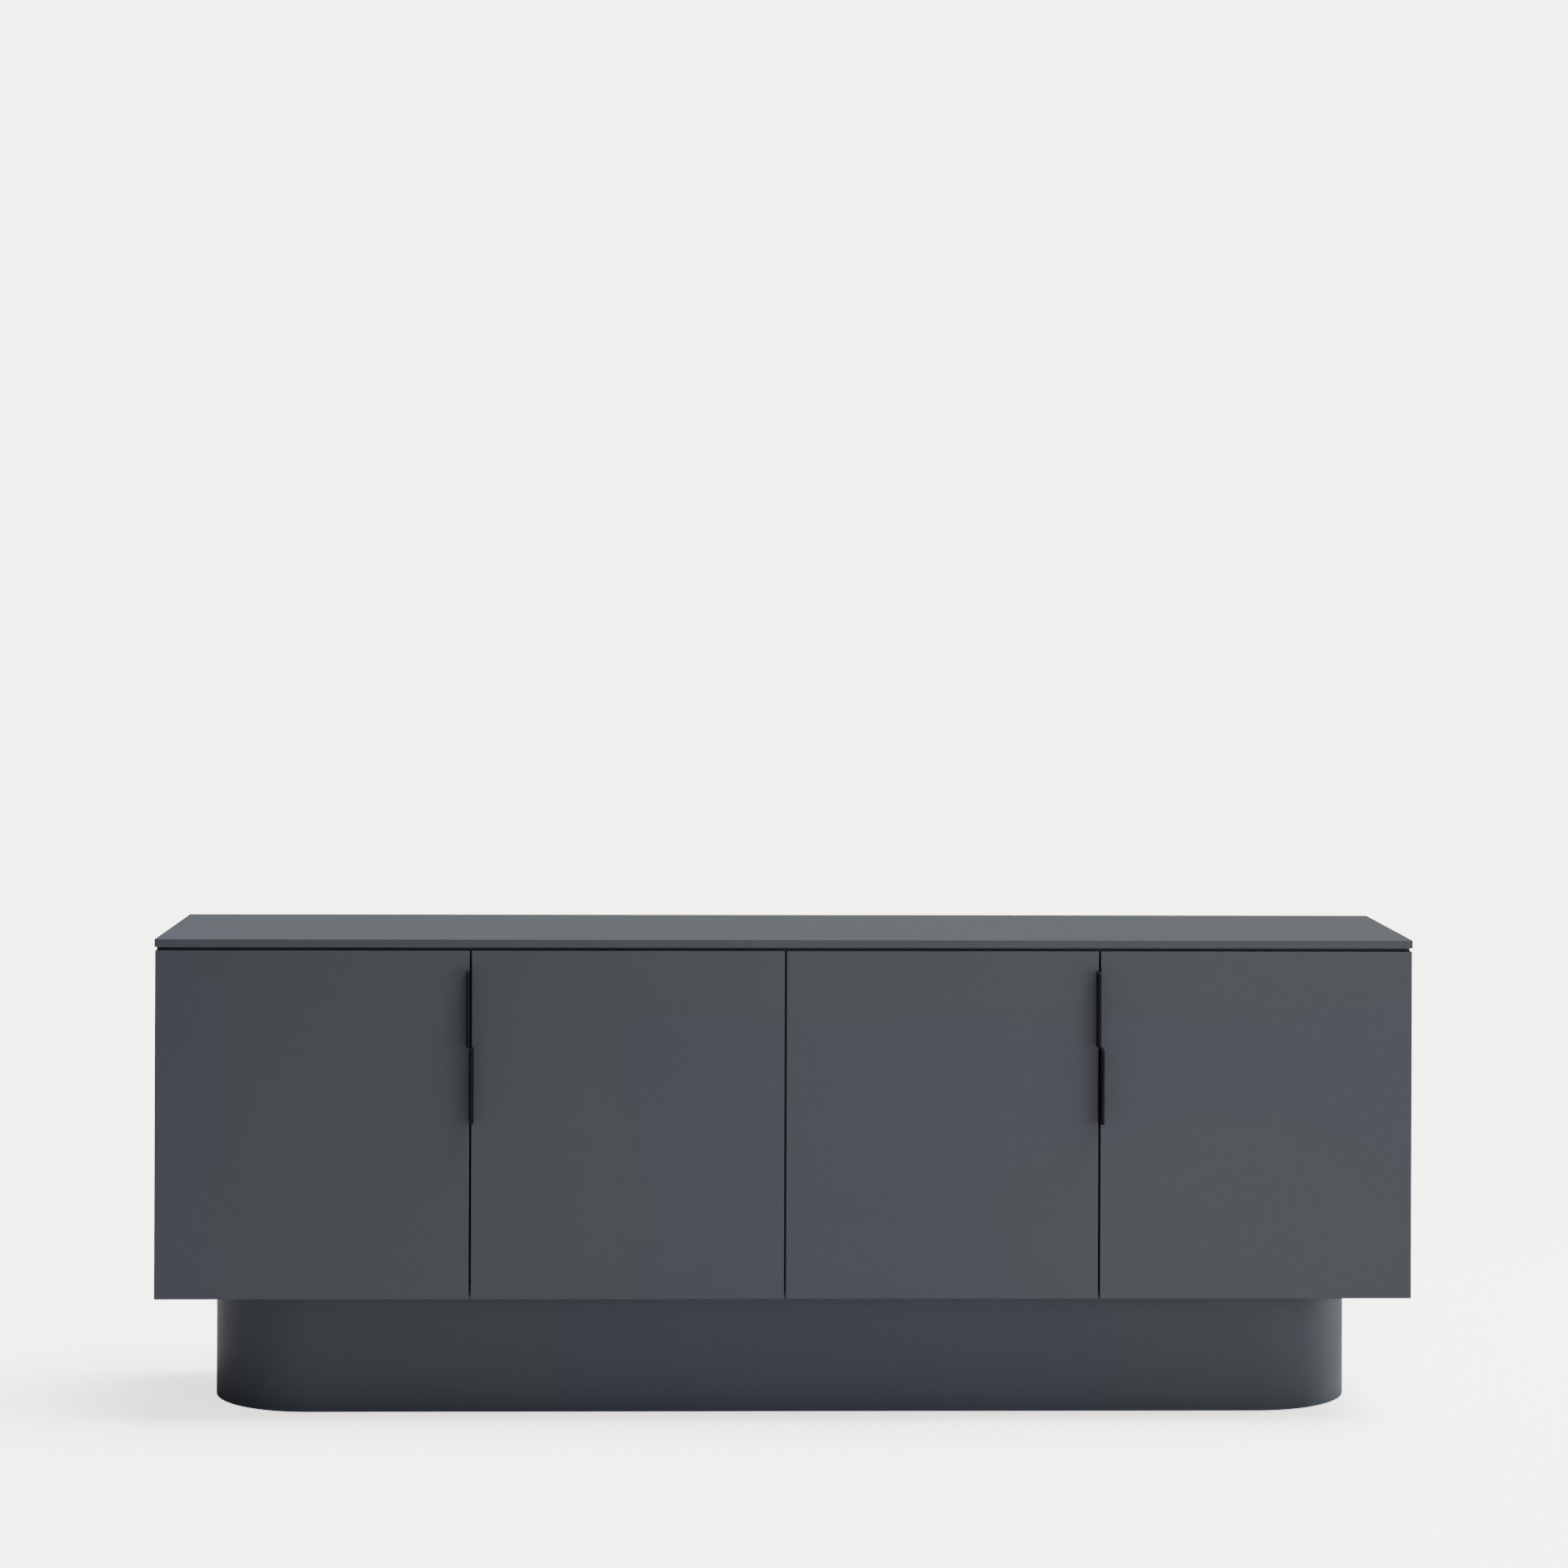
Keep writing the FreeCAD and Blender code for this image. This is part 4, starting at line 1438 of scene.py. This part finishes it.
@dataclass(frozen=True)
class Studio:
    """A pale floor that runs out into a pale surround, soft boxes and the camera.

    Attributes:
        surround: The surround's colour where the camera sees it.
        ambient: The light that the surround gives.
        floor_colour: The floor's paint, as it throws light back on the object.
        floor_gain: How much lighter the camera sees that paint.
        floor_glow: The glow that the camera sees on it, as a share of the surround.
        floor_grain: The floor's unevenness.
        grain_gain: How light the grain's paler colour is, as a share of the paint.
        floor_sides: How many sides the round floor has.
        fade: The distances from the middle over which the floor gives way to the surround.
        sky: The light from above.
        lights: The soft boxes.
        eye: Where the camera stands, in metres.
        yaw: How far it is turned to the right, in degrees.
        roll: How far it leans to the left, in degrees.
        lens: Its focal length, in millimetres.
        sensor: Its sensor's width, in millimetres.
        shift_y: How far its frame is shifted up, as a share of its width.
        sight: How far it sees, in metres.
    """

    surround: Colour = (5.68, 5.52, 5.15)
    ambient: float = 0.26
    floor_colour: Colour = (0.465, 0.457, 0.438)
    floor_gain: float = 4.6
    floor_glow: float = 0.33
    floor_grain: Cloud = Cloud(0.4 * MM)
    grain_gain: float = 1.03
    floor_sides: int = 96
    fade: tuple[float, float] = (1.5, 6.5)
    sky: SkyLight = SkyLight("overhead", (0.36, -0.02, 1.0), 40.0, 5.2)
    lights: tuple[SoftLight, ...] = (
        SoftLight("key_right", (3.1, -3.4, 1.0), (0.1, -0.2, 0.4), (1.6, 1.6), 35.5),
        SoftLight("low_front", (0.7, -3.2, 0.35), (0.4, -0.2, 0.25), (1.8, 0.6), 7.6),
        SoftLight("wide_front", (0.6, -4.6, 1.1), (0.2, -0.2, 0.5), (2.6, 1.2), 11.0),
        SoftLight("right_side", (3.0, 0.5, 0.5), (0.9, 0.05, 0.3), (1.2, 0.8), 22.0),
    )
    eye: Point = (-0.1408, -6.2145, 1.3818)
    yaw: float = 1.29
    roll: float = 0.20
    lens: float = 87.0
    sensor: float = 36.0
    shift_y: float = -0.1455
    sight: float = 100.0

    def build(self) -> None:
        """Set up the surround, floor, lights and camera."""
        self._surround()
        self._floor()
        for light in (self.sky, *self.lights):
            light.build()
        self._camera()

    def _surround(self) -> None:
        """An even pale surround that lights gently and shows a good deal brighter."""
        world = bpy.data.worlds.new("surround")
        world.use_nodes = True
        tree = world.node_tree
        tree.nodes.clear()
        shown, giving = (tree.nodes.new("ShaderNodeBackground") for _ in range(2))
        shown.inputs["Color"].default_value = (*self.surround, 1.0)
        giving.inputs["Color"].default_value = (*WHITE, 1.0)
        giving.inputs["Strength"].default_value = self.ambient
        path = tree.nodes.new("ShaderNodeLightPath")
        choice = tree.nodes.new("ShaderNodeMixShader")
        output = tree.nodes.new("ShaderNodeOutputWorld")
        tree.links.new(path.outputs["Is Camera Ray"], choice.inputs[0])
        tree.links.new(giving.outputs[0], choice.inputs[1])
        tree.links.new(shown.outputs[0], choice.inputs[2])
        tree.links.new(choice.outputs[0], output.inputs[0])
        bpy.context.scene.world = world

    def _floor_material(self) -> bpy.types.Material:
        """Make the floor's material: mid grey as a source of light, pale to the eye.

        Returns:
            The material, which fades out between the two distances of fade.
        """
        sheet = NodeSheet("studio_floor")
        away = sheet.node("ShaderNodeVectorMath", {"operation": "LENGTH"}, {0: sheet.place})
        rim = Value(sheet, away.outputs["Value"]).span(*self.fade)
        paler = scaled(self.floor_colour, self.grain_gain)
        grained = sheet.blend(sheet.noise(self.floor_grain), self.floor_colour, paler)
        paint = sheet.node("ShaderNodeBsdfDiffuse", {}, {"Color": grained})
        seen_colour = (*scaled(self.floor_colour, self.floor_gain), 1.0)
        bright = sheet.node("ShaderNodeBsdfDiffuse", {}, {"Color": seen_colour})
        shining = {"Color": (*self.surround, 1.0), "Strength": self.floor_glow}
        glow = sheet.node("ShaderNodeEmission", {}, shining)
        shown = sheet.node("ShaderNodeAddShader", {}, {0: bright.outputs[0], 1: glow.outputs[0]})
        by_eye = sheet.node("ShaderNodeLightPath").outputs["Is Camera Ray"]
        seen = {0: by_eye, 1: paint.outputs[0], 2: shown.outputs[0]}
        near = sheet.node("ShaderNodeMixShader", {}, seen)
        clear = sheet.node("ShaderNodeBsdfTransparent")
        ends = {0: rim, 1: near.outputs[0], 2: clear.outputs[0]}
        both = sheet.node("ShaderNodeMixShader", {}, ends)
        sheet.tree.links.new(both.outputs[0], sheet.output.inputs["Surface"])
        return sheet.material

    def _floor(self) -> None:
        """Lay a round floor that gives way to the surround at its rim."""
        disc = bmesh.new()
        bmesh.ops.create_circle(
            disc, cap_ends=True, segments=self.floor_sides, radius=self.fade[1]
        )
        mesh = new_mesh("studio_floor", disc)
        mesh.materials.append(self._floor_material())
        floor = new_object("studio_floor", mesh)
        LOG.info("laid %s", floor.name)

    def _camera(self) -> None:
        """Set the camera in front, a little left of the middle, looking level."""
        data = bpy.data.cameras.new("camera")
        data.lens = self.lens
        data.sensor_width = self.sensor
        data.shift_y = self.shift_y
        data.clip_end = self.sight
        camera = new_object("camera", data)
        yaw, roll = math.radians(self.yaw), math.radians(self.roll)
        ahead = Vector((math.sin(yaw), math.cos(yaw), 0.0))
        right = Vector((math.cos(yaw), -math.sin(yaw), 0.0))
        up = Vector((0.0, 0.0, 1.0))
        tilted_right = math.cos(roll) * right + math.sin(roll) * up
        tilted_up = math.cos(roll) * up - math.sin(roll) * right
        turn = Matrix((tilted_right, tilted_up, -ahead)).transposed().to_4x4()
        camera.matrix_world = Matrix.Translation(Vector(self.eye)) @ turn
        bpy.context.scene.camera = camera
        LOG.info("set the camera")


def write_sizes() -> None:
    """Log one line; the frame's box and the finished model's box are not written anywhere."""
    LOG.info("wrote sizes")


def main() -> None:
    """Build and dress the sideboard part by part, then the studio round it."""
    logging.basicConfig(level=logging.INFO, format="%(name)s: %(message)s")
    paint = Paintbox(Finishes())
    parts = [Carcass(), HingeFittings(), *(DoorLeaf(body) for body in DOORS), Plinth()]
    for part in parts:
        part.dress(paint)
        part.build(paint)
    Studio().build()
    write_sizes()


if __name__ == "__main__":
    main()
